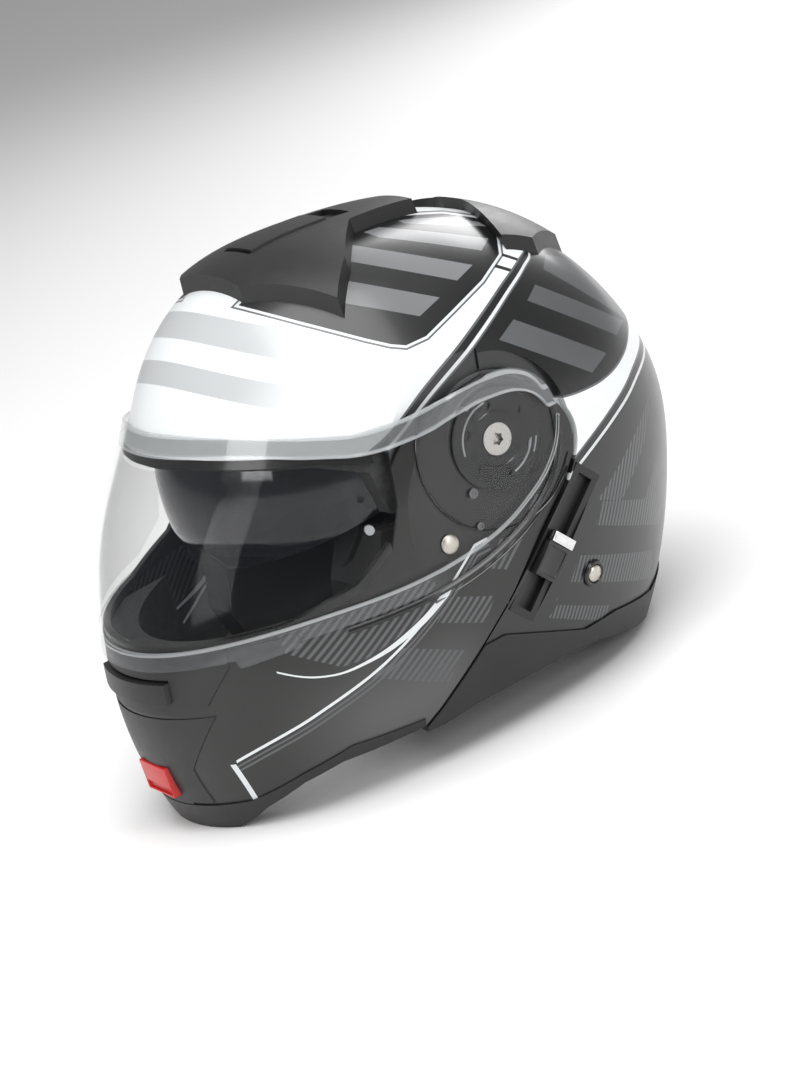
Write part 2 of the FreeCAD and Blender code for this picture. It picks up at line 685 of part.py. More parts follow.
def impact_liner():
    """Foam liner under the shell, slotted for the sun visor."""
    liner = layer(-size("shell_wall") - size("liner_gap"), -size("liner_inside"))
    liner = liner.cut(prism(LINER_OPENING))
    gap = size("liner_gap")
    liner = liner.cut(both(mechanism_space())).cut(rail_space(gap, OUTSIDE)).cut(sun_visor_region())
    return piece("impact_liner", main_solid(liner))


def crown_pad():
    """Comfort lining inside the foam."""
    outside = -size("liner_inside") - size("soft_gap")
    pad_layer = layer(outside, outside - size("crown_pad_wall"))
    region = prism([(-78, 34), (-40, 10), (-30, -40), (30, -62), (FAR, -70), (FAR, FAR), (-78, FAR)])
    return piece("crown_pad", pad_layer.common(region))


CHEEK = [(-70, -20), (-43, -26), (-26, -62), (36, -70), (48, -106), (44, -122), (-50, -122), (-82, -114)]
CHEEK += [(-92, -82), (-84, -46)]


def rectangle_outline_at(middle, half, low, high):
    """Upright rectangle of a side outline."""
    return [(middle - half, low), (middle + half, low), (middle + half, high), (middle - half, high)]


def cheek_pads():
    """Cheek pads below the foam, clear of the latches."""
    solid = hull(-size("trim_depth") - size("soft_gap")).common(prism(CHEEK))
    solid = solid.common(span(size("pad_inner_x"), FAR)).cut(rail_space(size("soft_gap"), OUTSIDE))
    latch_outline = [(-110, -50), (-80, -60), (-42, -88), (-42, -126), (-110, -126)]
    latch_zone = prism(latch_outline, size("pad_latch_x"), FAR)
    slot_half = size("strap_width") / 2 + 1
    strap_slot = prism(rectangle_outline_at(size("strap_back"), slot_half, -126, -84), 0, FAR)
    solid = solid.cut(latch_zone).cut(strap_slot).cut(mechanism_space())
    solid = main_solid(solid.cut(sun_visor_region()))
    piece("cheek_pad_left", solid)
    piece("cheek_pad_right", mirrored(solid))


def neck_roll():
    """Padded roll round the back of the neck opening."""
    depth = size("trim_depth") + size("soft_gap")
    roll = layer(-depth, -size("liner_inside"))
    region = prism([(52, -111), (FAR, -117), (FAR, -132), (70, -134), (54, -128)])
    return piece("neck_roll", roll.common(region))


# ---------------------------------------------------------------- sun visor and its slider

NOSE_NOTCH = [(-26, -44), (-18, -26), (-8, -18), (8, -18), (18, -26), (26, -44)]


def sun_visor():
    """Tinted inner visor, a surface of revolution about its own axis with a nose notch."""
    axis = PIVOT + V(0, size("sun_visor_back"), size("sun_visor_rise"))
    top = FreeCAD.Rotation(X_AXIS, size("sun_visor_top"))
    wall = size("sun_visor_wall")
    radius = size("sun_visor_radius")
    half = size("sun_visor_half_width")
    outer = [axis + top.multVec(point) for point in arc_points(radius, half)]
    inner = [axis + top.multVec(point) for point in arc_points(radius - wall, half - wall)]
    edges = [Part.Arc(*outer).toShape(), Part.makeLine(outer[2], inner[2])]
    edges += [Part.Arc(*inner[::-1]).toShape(), Part.makeLine(inner[0], outer[0])]
    swept = Part.Face(Part.Wire(edges)).revolve(axis, X_AXIS, size("sun_visor_span"))
    piece("sun_visor", outward(swept).cut(front_prism(NOSE_NOTCH)))


def sun_visor_pins():
    """Hinge pins of the sun visor, one on each side."""
    inner = size("sun_visor_half_width") - size("sun_visor_wall") - 1
    pin = disc(size("sun_pin_radius"), inner, FLOOR, size("sun_visor_back"), size("sun_visor_rise"))
    compound("sun_visor_pins", [pin, mirrored(pin)])


def slider_rail():
    """Sunk rail for the sun visor slider."""
    body = new_body("slider_rail", rail_face, rail_turn)
    outline = sketch(body, "rail_outline", "-Sizes.rail_depth")
    rectangle(outline, "rail_length", "rail_width")
    pad(body, "rail_pad", outline, "Sizes.rail_depth")
    groove = sketch(body, "rail_groove")
    rectangle(groove, "groove_length", "groove_width")
    pocket(body, "rail_groove_pocket", groove, "Sizes.groove_depth")


def sun_visor_slider():
    """Finger slider with a key that runs in the rail's groove."""
    body = new_body("sun_visor_slider", rail_face + rail_along * size("slider_rest"), rail_turn)
    block = sketch(body, "slider_block", "Sizes.slider_gap")
    rectangle(block, "slider_length", "slider_width")
    pad(body, "slider_pad", block, "Sizes.slider_rise")
    key = sketch(body, "slider_key", "Sizes.slider_gap")
    half_length = size("slider_length") / 2 - 2
    half_width = size("groove_width") / 2 - size("slider_gap")
    polygon(key, along_outline(-half_length, half_length, half_width))
    pad(body, "slider_key_pad", key, "Sizes.groove_depth", True)


# ---------------------------------------------------------------- chin bar

MOUTH = [(-68, -40), (-68, -60), (-55, -78), (-45, -82), (45, -82), (55, -78), (68, -60), (68, -40)]
CENTRE = [(-57, -84), (57, -84), (38, -108), (34, -113), (35, -134), (-35, -134), (-34, -113), (-38, -108)]


def rectangle_outline(half_width, low, high):
    return [(-half_width, low), (half_width, low), (half_width, high), (-half_width, high)]


def housing_outline(margin):
    middle = -size("button_drop")
    half = size("button_half_height") + margin
    return rectangle_outline(size("button_half_width") + margin, middle - half, middle + half)


def button_plane(depth):
    """Y of a plane that far behind the chin's front at the button."""
    return -reach(-180, -size("button_drop")) * 180 / math.hypot(180, size("button_drop")) + depth


def chin_bar():
    """Painted chin bar with its arms, panels, gasket, lining and lower trim."""
    wall = size("chin_wall")
    shell = hull(0, ARM_OUT).cut(hull(-wall, ARM_IN)).common(chin_region)
    edge = size("arm_edge_wall")
    shell = shell.cut(hull(-edge, ARM_OUT - edge).common(prism(rectangle_outline_at(-57, 21, -30, 40))))
    rim = size("housing_rim")
    housing_region = front_prism(housing_outline(rim))
    panel = layer(size("panel_proud"), -size("panel_depth"))
    mouth = panel.common(front_prism(MOUTH)).common(chin_region)
    centre = panel.common(front_prism(CENTRE)).common(chin_region).cut(housing_region)
    sleeve = disc(size("shoulder_radius") + size("running_gap") / 2, FLOOR, FAR)
    hooks = both(hook_pin())
    shell = shell.cut(mouth).cut(centre).cut(housing_region).cut(both(sleeve)).cut(hooks)
    shell = shell.cut(both(chin_stud()))
    piece("chin_shell", shell)
    vent = front_prism(rectangle_outline(36, -75, -63))
    piece("mouth_panel", mouth.cut(vent))
    piece("chin_centre_panel", centre)
    shutter_gap = size("shutter_gap")
    shutter = layer(size("panel_proud") + 3, shutter_gap - size("panel_depth")).common(
        front_prism(rectangle_outline(36 - shutter_gap, -75 + shutter_gap, -63 - 5 * shutter_gap))
    )
    piece("mouth_vent_shutter", shutter)
    gasket = layer(0, -size("gasket_depth"))
    top = [(-FAR, -52), (-128, -50), (-92, -42), (-72, -28)]
    strip = gasket.common(prism(top + shifted(top[::-1], 0, 4)))
    piece("chin_gasket", strip)
    trim = layer(size("trim_proud"), -size("trim_depth"))
    piece("chin_lower_trim", trim.common(prism(CHIN_LOW + CHIN_BASE[::-1])).cut(housing_region))
    foam = layer(-wall - size("liner_gap"), -size("chin_liner_depth"))
    region = prism([(-FAR, -56), (-100, -50), (-100, -118), (-141, -124), (-163, -133), (-FAR, -138)])
    half = size("chin_liner_half_width")
    foam = foam.common(region).common(span(-half, half))
    back = button_plane(size("button_back") + size("button_travel") + 3)
    space = front_prism(housing_outline(rim), back / RATIO)
    piece("chin_liner", foam.cut(space))
    cup = hull(size("panel_proud")).common(space)
    travel_back = button_plane(size("button_back") + size("button_travel"))
    button_space = front_prism(housing_outline(size("button_gap")), travel_back / RATIO)
    piece("latch_housing", cup.cut(button_space))
    button = hull(size("panel_proud") + 1).common(
        front_prism(housing_outline(0), button_plane(size("button_back")) / RATIO)
    )
    piece("latch_button", button)


POST_SPOT = (-56, -116)
PIN_SPOT = (-82, -103)


def latch_post():
    """Latch post in the left end of the lower trim."""
    return disc(size("post_radius"), size("hook_x") - 2, hull_x(*POST_SPOT) - 2, *POST_SPOT)


def hook_pin():
    """Pin of the left latch hook in the chin bar."""
    return disc(size("post_radius"), size("hook_x") - 1, hull_x(*PIN_SPOT) - 1, *PIN_SPOT)


def latches():
    """Hooks on the chin bar that close round posts on the shell."""
    compound("latch_posts", [latch_post(), mirrored(latch_post())])
    compound("hook_pins", [hook_pin(), mirrored(hook_pin())])
    low = size("hook_x")
    high = low + size("hook_wall")
    y, z = POST_SPOT
    outline = [(-87, -98), (-78, -97), (-62, -104), (-50, -109), (-49, -117), (-51.5, -118)]
    outline += [(y + 3.2, z + 1), (y + 1, z + 4), (y - 4, z + 5), (-68, -112), (-80, -109), (-87, -108)]
    plate = prism(outline, low, high)
    plate = plate.cut(disc(size("post_radius") + size("running_gap") / 2, low - 1, high + 1, *PIN_SPOT))
    plate = plate.cut(disc(size("post_radius") + size("soft_gap"), low - 1, high + 1, *POST_SPOT))
    piece("latch_hook_left", plate)
    piece("latch_hook_right", mirrored(plate))


# ---------------------------------------------------------------- visor

VISOR_END = [((30, 22), (36, 0)), ((33, -22), (6, -42)), (-19, -51)]
PINLOCK = [(-FAR, 32), (-128, 31), (-104, 24), (-90, 10), (-86, -10), (-94, -30), (-116, -40), (-FAR, -44)]
PINLOCK_PIN = (-79, -14)


def pinlock_pin():
    normal = hull_normal(*PINLOCK_PIN)
    foot = PIVOT + V(hull_x(*PINLOCK_PIN), *PINLOCK_PIN) + normal * 0.4
    height = size("visor_gap") + size("visor_wall") + 0.4
    return Part.makeCylinder(size("pinlock_radius"), height, foot, normal)


def visor():
    """Clear visor with hub rings, anti-fog lens and its pins."""
    gap = size("visor_gap")
    sheet_layer = hull(gap + size("visor_wall"), VISOR_OUT).cut(hull(gap, VISOR_IN))
    sheet_layer = sheet_layer.common(prism(VISOR_TOP + VISOR_END + VISOR_LOW))
    inner = size("plate_radius") + size("running_gap")
    start = ARM_OUT + 0.3
    ring = disc(size("hub_radius"), start, VISOR_IN).cut(disc(inner, start, VISOR_IN))
    tab = hull(gap + size("visor_wall") + size("tab_rise")).cut(hull(gap + size("visor_wall") / 2))
    tab = tab.common(prism([(-153, -60), (-127, -57), (-128, -50), (-153, -50)], 60, FAR))
    whole = sheet_layer.fuse([ring, mirrored(ring), tab]).cut(both(pinlock_pin()))
    piece("visor", whole)
    wall = size("pinlock_wall")
    gap -= size("running_gap")
    flat = VISOR_IN - size("running_gap")
    lens = layer(gap, gap - wall, flat, flat - wall).common(prism(PINLOCK))
    piece("pinlock_lens", lens.cut(both(pinlock_pin())))
    compound("pinlock_pins", [pinlock_pin(), mirrored(pinlock_pin())])


# ---------------------------------------------------------------- chin strap

def strap_rivet():
    """Rivet that holds the left strap's end to the shell."""
    spot = (size("strap_back"), 2 - size("strap_end_drop"))
    return disc(size("rivet_radius"), STRAP_END + size("rivet_gap"), hull_x(*spot) - 1, *spot)


def strap_path(start_x, end_x):
    """Arc of the webbing across the neck opening."""
    low = -size("strap_low")
    end_drop = -size("strap_end_drop")
    half = STRAP_END

    def height(x):
        return low + (end_drop - low) * (x / half) ** 2

    middle = (start_x + end_x) / 2
    points = [PIVOT + V(x, size("strap_back"), height(x)) for x in (start_x, middle, end_x)]
    return Part.Wire(Part.Arc(*points).toShape())


def strap(start_x, end_x):
    """Flat webbing along a stretch of the strap's arc."""
    path = strap_path(start_x, end_x)
    edge = path.Edges[0]
    start = edge.valueAt(edge.FirstParameter)
    along = edge.tangentAt(edge.FirstParameter)
    side = V(0, 1, 0)
    up = along.cross(side)
    half = size("strap_width") / 2
    thick = size("strap_wall") / 2
    corners = [start + side * a * half + up * b * thick for a, b in ((-1, -1), (1, -1), (1, 1), (-1, 1))]
    profile = Part.makePolygon(corners + corners[:1])
    return path.makePipeShell([profile], True, True)


def chin_strap():
    """Two webbing straps, their rivets and the ratchet buckle."""
    half = STRAP_END
    buckle_x = -24.0
    reach_in = size("buckle_length") / 2
    piece("chin_strap_left", strap(half, buckle_x + reach_in))
    piece("chin_strap_right", strap(-half, buckle_x - reach_in))
    compound("strap_rivets", [strap_rivet(), mirrored(strap_rivet())])
    low = -size("strap_low") + (size("strap_low") - size("strap_end_drop")) * (buckle_x / half) ** 2
    place = PIVOT + V(buckle_x, size("strap_back"), low)
    tilt = math.degrees(math.atan2(2 * (size("strap_low") - size("strap_end_drop")) * buckle_x, half ** 2))
    turn = FreeCAD.Rotation(V(0, 1, 0), -tilt)
    buckle = new_body("ratchet_buckle", place, turn)
    base = sketch(buckle, "buckle_base", "-Sizes.buckle_height / 2")
    rectangle(base, "buckle_length", "buckle_width")
    pad(buckle, "buckle_pad", base, "Sizes.buckle_height")
    hollow = sketch(buckle, "buckle_hollow", "Sizes.buckle_height / 2")
    half_length = size("buckle_length") / 2
    half_width = size("buckle_width") / 2 - size("buckle_wall")
    polygon(hollow, along_outline(-half_length - 1, half_length + 1, half_width))
    pocket(buckle, "buckle_hollow_pocket", hollow, "Sizes.buckle_height - Sizes.buckle_wall")
    lever = new_body("buckle_lever", place, turn)
    outline = sketch(lever, "lever_outline", "Sizes.buckle_height / 2 - Sizes.lever_wall")
    inner = half_width - size("soft_gap")
    end = half_length - 3
    polygon(outline, along_outline(end - size("lever_length"), end, inner))
    pad(lever, "lever_pad", outline, "Sizes.lever_wall")
    tongue = new_body("buckle_tongue", place, turn)
    rack = sketch(tongue, "tongue_outline", "Sizes.buckle_wall - Sizes.buckle_height / 2")
    polygon(rack, along_outline(-half_length + 4, half_length, inner - 3))
    pad(tongue, "tongue_pad", rack, "Sizes.strap_wall")


# ---------------------------------------------------------------- build and export

outer_shell()
shell_base_trim()
eyeport_gasket()
for side_name, side_sign in (("left", 1), ("right", -1)):
    base_plate(side_name, side_sign)
    pivot_screw(side_name, side_sign)
    visor_plate(side_name, side_sign)
top_vent()
rear_exhaust()
shell_stud = stud(SHELL_STUD, size("stud_rise"))
compound("shell_studs", [shell_stud, mirrored(shell_stud)])
compound("chin_studs", [chin_stud(), mirrored(chin_stud())])
impact_liner()
crown_pad()
cheek_pads()
neck_roll()
sun_visor()
sun_visor_pins()
slider_rail()
sun_visor_slider()
chin_bar()
latches()
visor()
chin_strap()
doc.recompute()

for item in doc.Objects:
    if "Invalid" in item.State or "Error" in item.State:
        raise RuntimeError(f"{item.Label} failed: {item.State}")
for node in nodes:
    if node.Shape.isNull() or not node.Shape.isValid():
        raise RuntimeError(f"{node.Label} has no valid shape")

os.makedirs("parts", exist_ok=True)
for node in nodes:
    node.Shape.exportStep(f"parts/{node.Label}.step")
    box = node.Shape.BoundBox
    print(node.Label, len(node.Shape.Solids), round(node.Shape.Volume / 1000, 2), box)
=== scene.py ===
# %% [markdown]
# A flip-up motorcycle helmet, dressed for the studio. The CAD model gives every piece its size and
# place, so it is loaded first and never moved. Its box is kept, because the finished model has to
# stay inside it. Blender's work is the finish: paint, clear plastic, rubber and small detail.

# %% Load the imported model
import json
import math
import bmesh
import bpy
from mathutils import Matrix, Vector

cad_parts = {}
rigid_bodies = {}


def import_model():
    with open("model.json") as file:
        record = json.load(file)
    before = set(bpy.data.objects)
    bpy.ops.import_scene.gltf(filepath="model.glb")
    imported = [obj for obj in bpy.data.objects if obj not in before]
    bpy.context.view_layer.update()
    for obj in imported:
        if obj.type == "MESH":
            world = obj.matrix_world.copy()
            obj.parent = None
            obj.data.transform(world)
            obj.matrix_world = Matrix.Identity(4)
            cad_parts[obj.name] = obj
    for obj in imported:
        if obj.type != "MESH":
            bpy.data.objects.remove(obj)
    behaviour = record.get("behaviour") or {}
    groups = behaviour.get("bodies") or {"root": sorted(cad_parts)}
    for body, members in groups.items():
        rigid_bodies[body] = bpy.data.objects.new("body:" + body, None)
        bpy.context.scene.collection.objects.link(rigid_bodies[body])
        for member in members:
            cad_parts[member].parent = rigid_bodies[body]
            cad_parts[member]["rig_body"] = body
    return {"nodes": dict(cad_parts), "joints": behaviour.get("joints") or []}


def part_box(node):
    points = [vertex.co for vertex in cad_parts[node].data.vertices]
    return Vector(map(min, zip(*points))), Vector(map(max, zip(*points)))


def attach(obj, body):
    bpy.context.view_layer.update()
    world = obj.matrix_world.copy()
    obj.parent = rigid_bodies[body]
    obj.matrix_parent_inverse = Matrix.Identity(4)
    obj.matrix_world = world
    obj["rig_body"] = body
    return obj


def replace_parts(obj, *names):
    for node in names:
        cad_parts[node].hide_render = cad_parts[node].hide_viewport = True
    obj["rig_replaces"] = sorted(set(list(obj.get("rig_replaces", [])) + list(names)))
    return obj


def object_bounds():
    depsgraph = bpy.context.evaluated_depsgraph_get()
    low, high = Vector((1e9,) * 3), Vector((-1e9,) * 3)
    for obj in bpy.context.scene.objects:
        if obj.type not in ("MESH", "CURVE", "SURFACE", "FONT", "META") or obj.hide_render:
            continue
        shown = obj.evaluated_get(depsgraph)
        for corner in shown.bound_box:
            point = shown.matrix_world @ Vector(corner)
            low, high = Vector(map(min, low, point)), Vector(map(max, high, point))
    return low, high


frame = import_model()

cad_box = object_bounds()
joints = {joint["name"]: joint for joint in frame["joints"]}
pivot = Vector(joints["chin_bar_lift"]["pos_m"])
MM = 0.001
print("loaded", len(frame["nodes"]), "nodes, pivot at", tuple(pivot))

# %% [markdown]
# The camera stands in front of the rider's left cheek, a little above it. It could be placed by eye,
# but three unit vectors say it exactly: where it stands from the pivot, and its right and its up. A
# long lens keeps the sides from swelling.

# %% Place the camera
CAMERA_BACK = Vector((0.8613, -0.4268, 0.2758))
CAMERA_RIGHT = Vector((0.5, 0.8085, -0.3104))
CAMERA_UP = Vector((-0.0905, 0.4052, 0.9097))
CAMERA_DISTANCE = 1.568
LENS = 99.8


def add_camera():
    data = bpy.data.cameras.new("studio_camera")
    data.lens = LENS
    data.clip_start = 0.05
    data.clip_end = 50
    camera = bpy.data.objects.new("studio_camera", data)
    bpy.context.scene.collection.objects.link(camera)
    back = (CAMERA_BACK - CAMERA_RIGHT * 0.006 + CAMERA_UP * 0.0395).normalized()
    right = CAMERA_UP.cross(back).normalized()
    up = back.cross(right)
    turn = Matrix((right, up, back)).transposed().to_4x4()
    camera.matrix_world = Matrix.Translation(pivot + CAMERA_BACK * CAMERA_DISTANCE) @ turn
    bpy.context.scene.camera = camera


add_camera()

# %% [markdown]
# A white sweep and large soft lamps are what a catalogue studio uses. Here a pale floor and a bright
# even world do the same, and four area lamps give the long soft highlights on the curved surfaces.

# %% Floor, world and lamps
def quiet():
    """Nothing selected, and object mode."""
    if bpy.context.mode != "OBJECT":
        bpy.ops.object.mode_set(mode="OBJECT")
    bpy.ops.object.select_all(action="DESELECT")


def add_floor():
    quiet()
    bpy.ops.mesh.primitive_plane_add(size=8, location=(0, 0, cad_box[0].z - 0.0003))
    floor = bpy.context.object
    floor.name = "studio_floor"
    bpy.ops.object.transform_apply(location=True)
    paper = bpy.data.materials.new("floor_paper")
    paper.use_nodes = True
    shader = paper.node_tree.nodes["Principled BSDF"]
    shader.inputs["Base Color"].default_value = (0.86, 0.86, 0.86, 1)
    shader.inputs["Roughness"].default_value = 0.9
    floor.data.materials.append(paper)


def add_lamp(name, place, aim, size, power):
    data = bpy.data.lights.new(name, "AREA")
    data.shape = "RECTANGLE"
    data.size, data.size_y = size
    data.energy = power
    lamp = bpy.data.objects.new(name, data)
    bpy.context.scene.collection.objects.link(lamp)
    lamp.location = place
    lamp.rotation_euler = (Vector(aim) - Vector(place)).to_track_quat("-Z", "Y").to_euler()


add_floor()
world = bpy.data.worlds.new("studio_world")
world.use_nodes = True
world.node_tree.nodes["Background"].inputs["Color"].default_value = (1, 1, 1, 1)
world.node_tree.nodes["Background"].inputs["Strength"].default_value = 0.32
bpy.context.scene.world = world
bpy.context.scene.view_settings.view_transform = "Standard"
add_lamp("lamp_over", (0.4, -0.1, 1.7), (0, 0, 0.1), (1.5, 1.8), 34)
add_lamp("lamp_front", (0.3, -2.0, 0.9), (0, 0, 0.15), (0.8, 1.2), 16)
add_lamp("lamp_side", (2.1, 0.7, 0.7), (0, 0, 0.12), (0.5, 1.4), 16)
add_lamp("lamp_back", (-1.2, 1.6, 1.0), (0, 0, 0.12), (0.8, 1.2), 16)

# %% [markdown]
# A painted shell needs shapes in its paint. They could be drawn on an image, but a shader can work
# them out: a straight-sided patch is the place where several half planes overlap, and a long edge is
# a smooth curve. This board holds the few steps that every material below is made of.

# %% A board for shader nodes
class Board:
    """One material and the steps of its pattern. Lengths are millimetres from the visor's pivot."""

    def __init__(self, name):
        self.material = bpy.data.materials.new(name)
        self.material.use_nodes = True
        self.tree = self.material.node_tree
        self.shader = self.tree.nodes["Principled BSDF"]

    def add(self, kind, **settings):
        made = self.tree.nodes.new(kind)
        for key, value in settings.items():
            setattr(made, key, value)
        return made

    def feed(self, socket, value):
        if isinstance(value, bpy.types.NodeSocket):
            self.tree.links.new(value, socket)
        else:
            socket.default_value = value

    def math(self, operation, *values):
        made = self.add("ShaderNodeMath", operation=operation)
        for socket, value in zip(made.inputs, values):
            self.feed(socket, value)
        return made.outputs[0]

    def place(self):
        """Sockets of |x|, y and z, and their vector."""
        spot = self.add("ShaderNodeTexCoord").outputs["Object"]
        scale = self.add("ShaderNodeMapping")
        scale.inputs["Location"].default_value = pivot * -1000
        scale.inputs["Scale"].default_value = (1000, 1000, 1000)
        self.feed(scale.inputs["Vector"], spot)
        parts = self.add("ShaderNodeSeparateXYZ")
        self.feed(parts.inputs[0], scale.outputs[0])
        across = self.math("ABSOLUTE", parts.outputs[0])
        return across, parts.outputs[1], parts.outputs[2], scale.outputs[0]

    def slanted(self, across, y, z, back, up):
        """Place on a slanted plane, from the two directions along it."""
        spot = self.add("ShaderNodeCombineXYZ")
        for socket, value in zip(spot.inputs, (across, y, z)):
            self.feed(socket, value)
        along = []
        for direction in (back, up):
            made = self.add("ShaderNodeVectorMath", operation="DOT_PRODUCT")
            self.feed(made.inputs[0], spot.outputs[0])
            made.inputs[1].default_value = direction
            along.append(made.outputs["Value"])
        return self.pair(*along)

    def pair(self, u, v):
        made = self.add("ShaderNodeCombineXYZ")
        self.feed(made.inputs[0], u)
        self.feed(made.inputs[1], v)
        made.inputs[2].default_value = 1
        return made.outputs[0]

    def depth_in(self, pair, corners):
        """How far a point lies inside a convex outline, negative outside."""
        turn = sum(a[0] * b[1] - b[0] * a[1] for a, b in zip(corners, corners[1:] + corners[:1]))
        sign = 1 if turn > 0 else -1
        depth = None
        for a, b in zip(corners, corners[1:] + corners[:1]):
            du, dv = b[0] - a[0], b[1] - a[1]
            reach = math.hypot(du, dv) * sign
            half = self.add("ShaderNodeVectorMath", operation="DOT_PRODUCT")
            self.feed(half.inputs[0], pair)
            half.inputs[1].default_value = (-dv / reach, du / reach, (dv * a[0] - du * a[1]) / reach)
            side = half.outputs["Value"]
            depth = side if depth is None else self.math("MINIMUM", depth, side)
        return depth

    def inside(self, pair, corners):
        return self.math("GREATER_THAN", self.depth_in(pair, corners), 0)

    def curve(self, u, points, low, high):
        """Smooth line through (u, v) points. low and high bound the values of v."""
        start, end = points[0][0], points[-1][0]
        share = self.add("ShaderNodeMapRange", clamp=True)
        self.feed(share.inputs["Value"], u)
        share.inputs["From Min"].default_value = start
        share.inputs["From Max"].default_value = end
        made = self.add("ShaderNodeFloatCurve")
        line = made.mapping.curves[0]
        for _ in points[2:]:
            line.points.new(0.5, 0.5)
        for point, (a, b) in zip(line.points, points):
            point.location = ((a - start) / (end - start), (b - low) / (high - low))
        made.mapping.update()
        self.feed(made.inputs["Value"], share.outputs[0])
        return self.math("MULTIPLY_ADD", made.outputs[0], high - low, low)

    def between(self, value, low, high):
        above = self.math("GREATER_THAN", value, low)
        return self.math("MULTIPLY", above, self.math("LESS_THAN", value, high))

    def ramp(self, value, start, end):
        made = self.add("ShaderNodeMapRange", clamp=True, interpolation_type="SMOOTHSTEP")
        self.feed(made.inputs["Value"], value)
        made.inputs["From Min"].default_value = start
        made.inputs["From Max"].default_value = end
        return made.outputs[0]

    def both(self, *masks):
        result = masks[0]
        for mask in masks[1:]:
            result = self.math("MULTIPLY", result, mask)
        return result

    def coat(self, under, colour, mask):
        """Colour laid over what is under it where the mask is 1."""
        made = self.add("ShaderNodeMix", data_type="RGBA")
        self.feed(made.inputs["Factor"], mask)
        self.feed(made.inputs["A"], under)
        self.feed(made.inputs["B"], colour)
        return made.outputs["Result"]

    def noise(self, scale, detail=2.0, rough=0.5):
        """Noise of the object's space; scale is spots to the metre."""
        made = self.add("ShaderNodeTexNoise")
        made.inputs["Scale"].default_value = scale
        made.inputs["Detail"].default_value = detail
        made.inputs["Roughness"].default_value = rough
        self.feed(made.inputs["Vector"], self.add("ShaderNodeTexCoord").outputs["Object"])
        return made.outputs["Fac"]

    def wear(self, scale, detail, spread, rough):
        """Roughness that varies by a spread about its mean."""
        varied = self.math("MULTIPLY_ADD", self.noise(scale, detail), spread, rough - spread / 2)
        self.feed(self.shader.inputs["Roughness"], varied)

    def bump(self, height, distance, strength=1.0):
        made = self.add("ShaderNodeBump")
        made.inputs["Distance"].default_value = distance
        made.inputs["Strength"].default_value = strength
        self.feed(made.inputs["Height"], height)
        self.feed(self.shader.inputs["Normal"], made.outputs[0])

    def set(self, **values):
        """Constants of the shader, by socket name with _ for a space."""
        for key, value in values.items():
            self.shader.inputs[key.replace("_", " ")].default_value = value


def grey(level, warmth=0.0):
    return (level * (1 + warmth), level, level * (1 - warmth), 1)


# %% [markdown]
# The shell is moulded plastic under a satin clear coat. Its paint is white over the brow and crown,
# with a black patch on each side of the crown, a white band behind it, and black at the back. Girth,
# the angle up from the ear round to the crown, follows the dome better than height does, so the upper
# shapes are drawn in it, and the lower ones in plain side view.

# %% Paint of the outer shell
WHITE = (0.80, 0.825, 0.83, 1)
LINE_WHITE = (0.66, 0.68, 0.69, 1)
BLACK = (0.0085, 0.0088, 0.0095, 1)
BAR = (0.135, 0.14, 0.145, 1)
REAR_BAR = (0.072, 0.076, 0.08, 1)
EDGE_GREY = (0.11, 0.115, 0.12, 1)
HATCH = (0.085, 0.088, 0.092, 1)
GIRTH = 2.0


def girth(points):
    """(y, degrees of girth) as millimetres on the dome."""
    return [(y, angle * GIRTH) for y, angle in points]


# The patch and its bars are drawn on a slanted plane, square to a look from the front quarter, where
# their edges are straight. The first number runs back along the plane and the second up it.
PLANE_BACK = (0.5, 0.8085, -0.3104)
PLANE_UP = (-0.0905, 0.4052, 0.9097)
CROWN_PATCH = [(-68, 56), (-38, 48), (-13, 41), (7, 36.5), (14, 36), (23.5, 40.5), (36, 53), (51.5, 69),
               (61, 83), (60, 98), (53, 102.5), (34, 105), (14, 103.5), (-10, 97.5), (-40, 84)]
CROWN_BARS = [
    [(9, 102), (36, 105), (54, 104), (58, 98.5), (40, 98.5), (14, 99.5)],
    [(-7, 94.6), (1, 97.5), (57, 91.4), (53, 84.5), (1, 91.5)],
    [(-21, 88.6), (-28, 80.7), (40, 68.2), (48, 76.5)],
    [(-35, 71.4), (-38, 66), (-24, 57.5), (21, 49.7), (31, 59.3)],
]
BAND_EDGE = [(-90, 8), (-60, 11), (-24, 19), (11, 26), (41, 33), (66, 40), (78, 45), (84, 60), (90, 88),
             (150, 90)]
BAND_CUTS = [girth(cut) for cut in (
    [(43, 42.5), (60, 34.5), (62, 35.5), (45, 43.5)],
    [(51, 47), (67, 39), (69, 40), (53, 48)],
)]
REAR_BARS = [
    [(87, 84), (97, 83.5), (136, 57), (132, 51), (85, 75.6)],
    [(80, 67), (128.7, 50.6), (124, 42.3), (75.4, 58.5)],
    [(68, 48.7), (117.3, 32.7), (109, 22.5), (60.4, 38.3)],
]
LOWER_BAND_TOP = [(20, 8), (34, 6), (58, 1), (79, -1), (101, 1), (118, 5), (133, 8), (150, 12)]
LOWER_BAND_BASE = [(20, -36), (40, -28), (71, -18), (90, -13), (106, -9), (141, -6), (150, -5)]
HATCHED = [
    [(47, -56), (74, -70), (95, -46), (117, -32), (111, -27)],
    [(50, -58), (105, -85), (100, -99), (42, -68)],
    [(84, -75), (106, -86), (118, -52)],
    [(27, -78), (88, -108), (86, -125), (18, -89)],
    [(7, -97), (44, -117), (36, -122), (0, -101)],
]


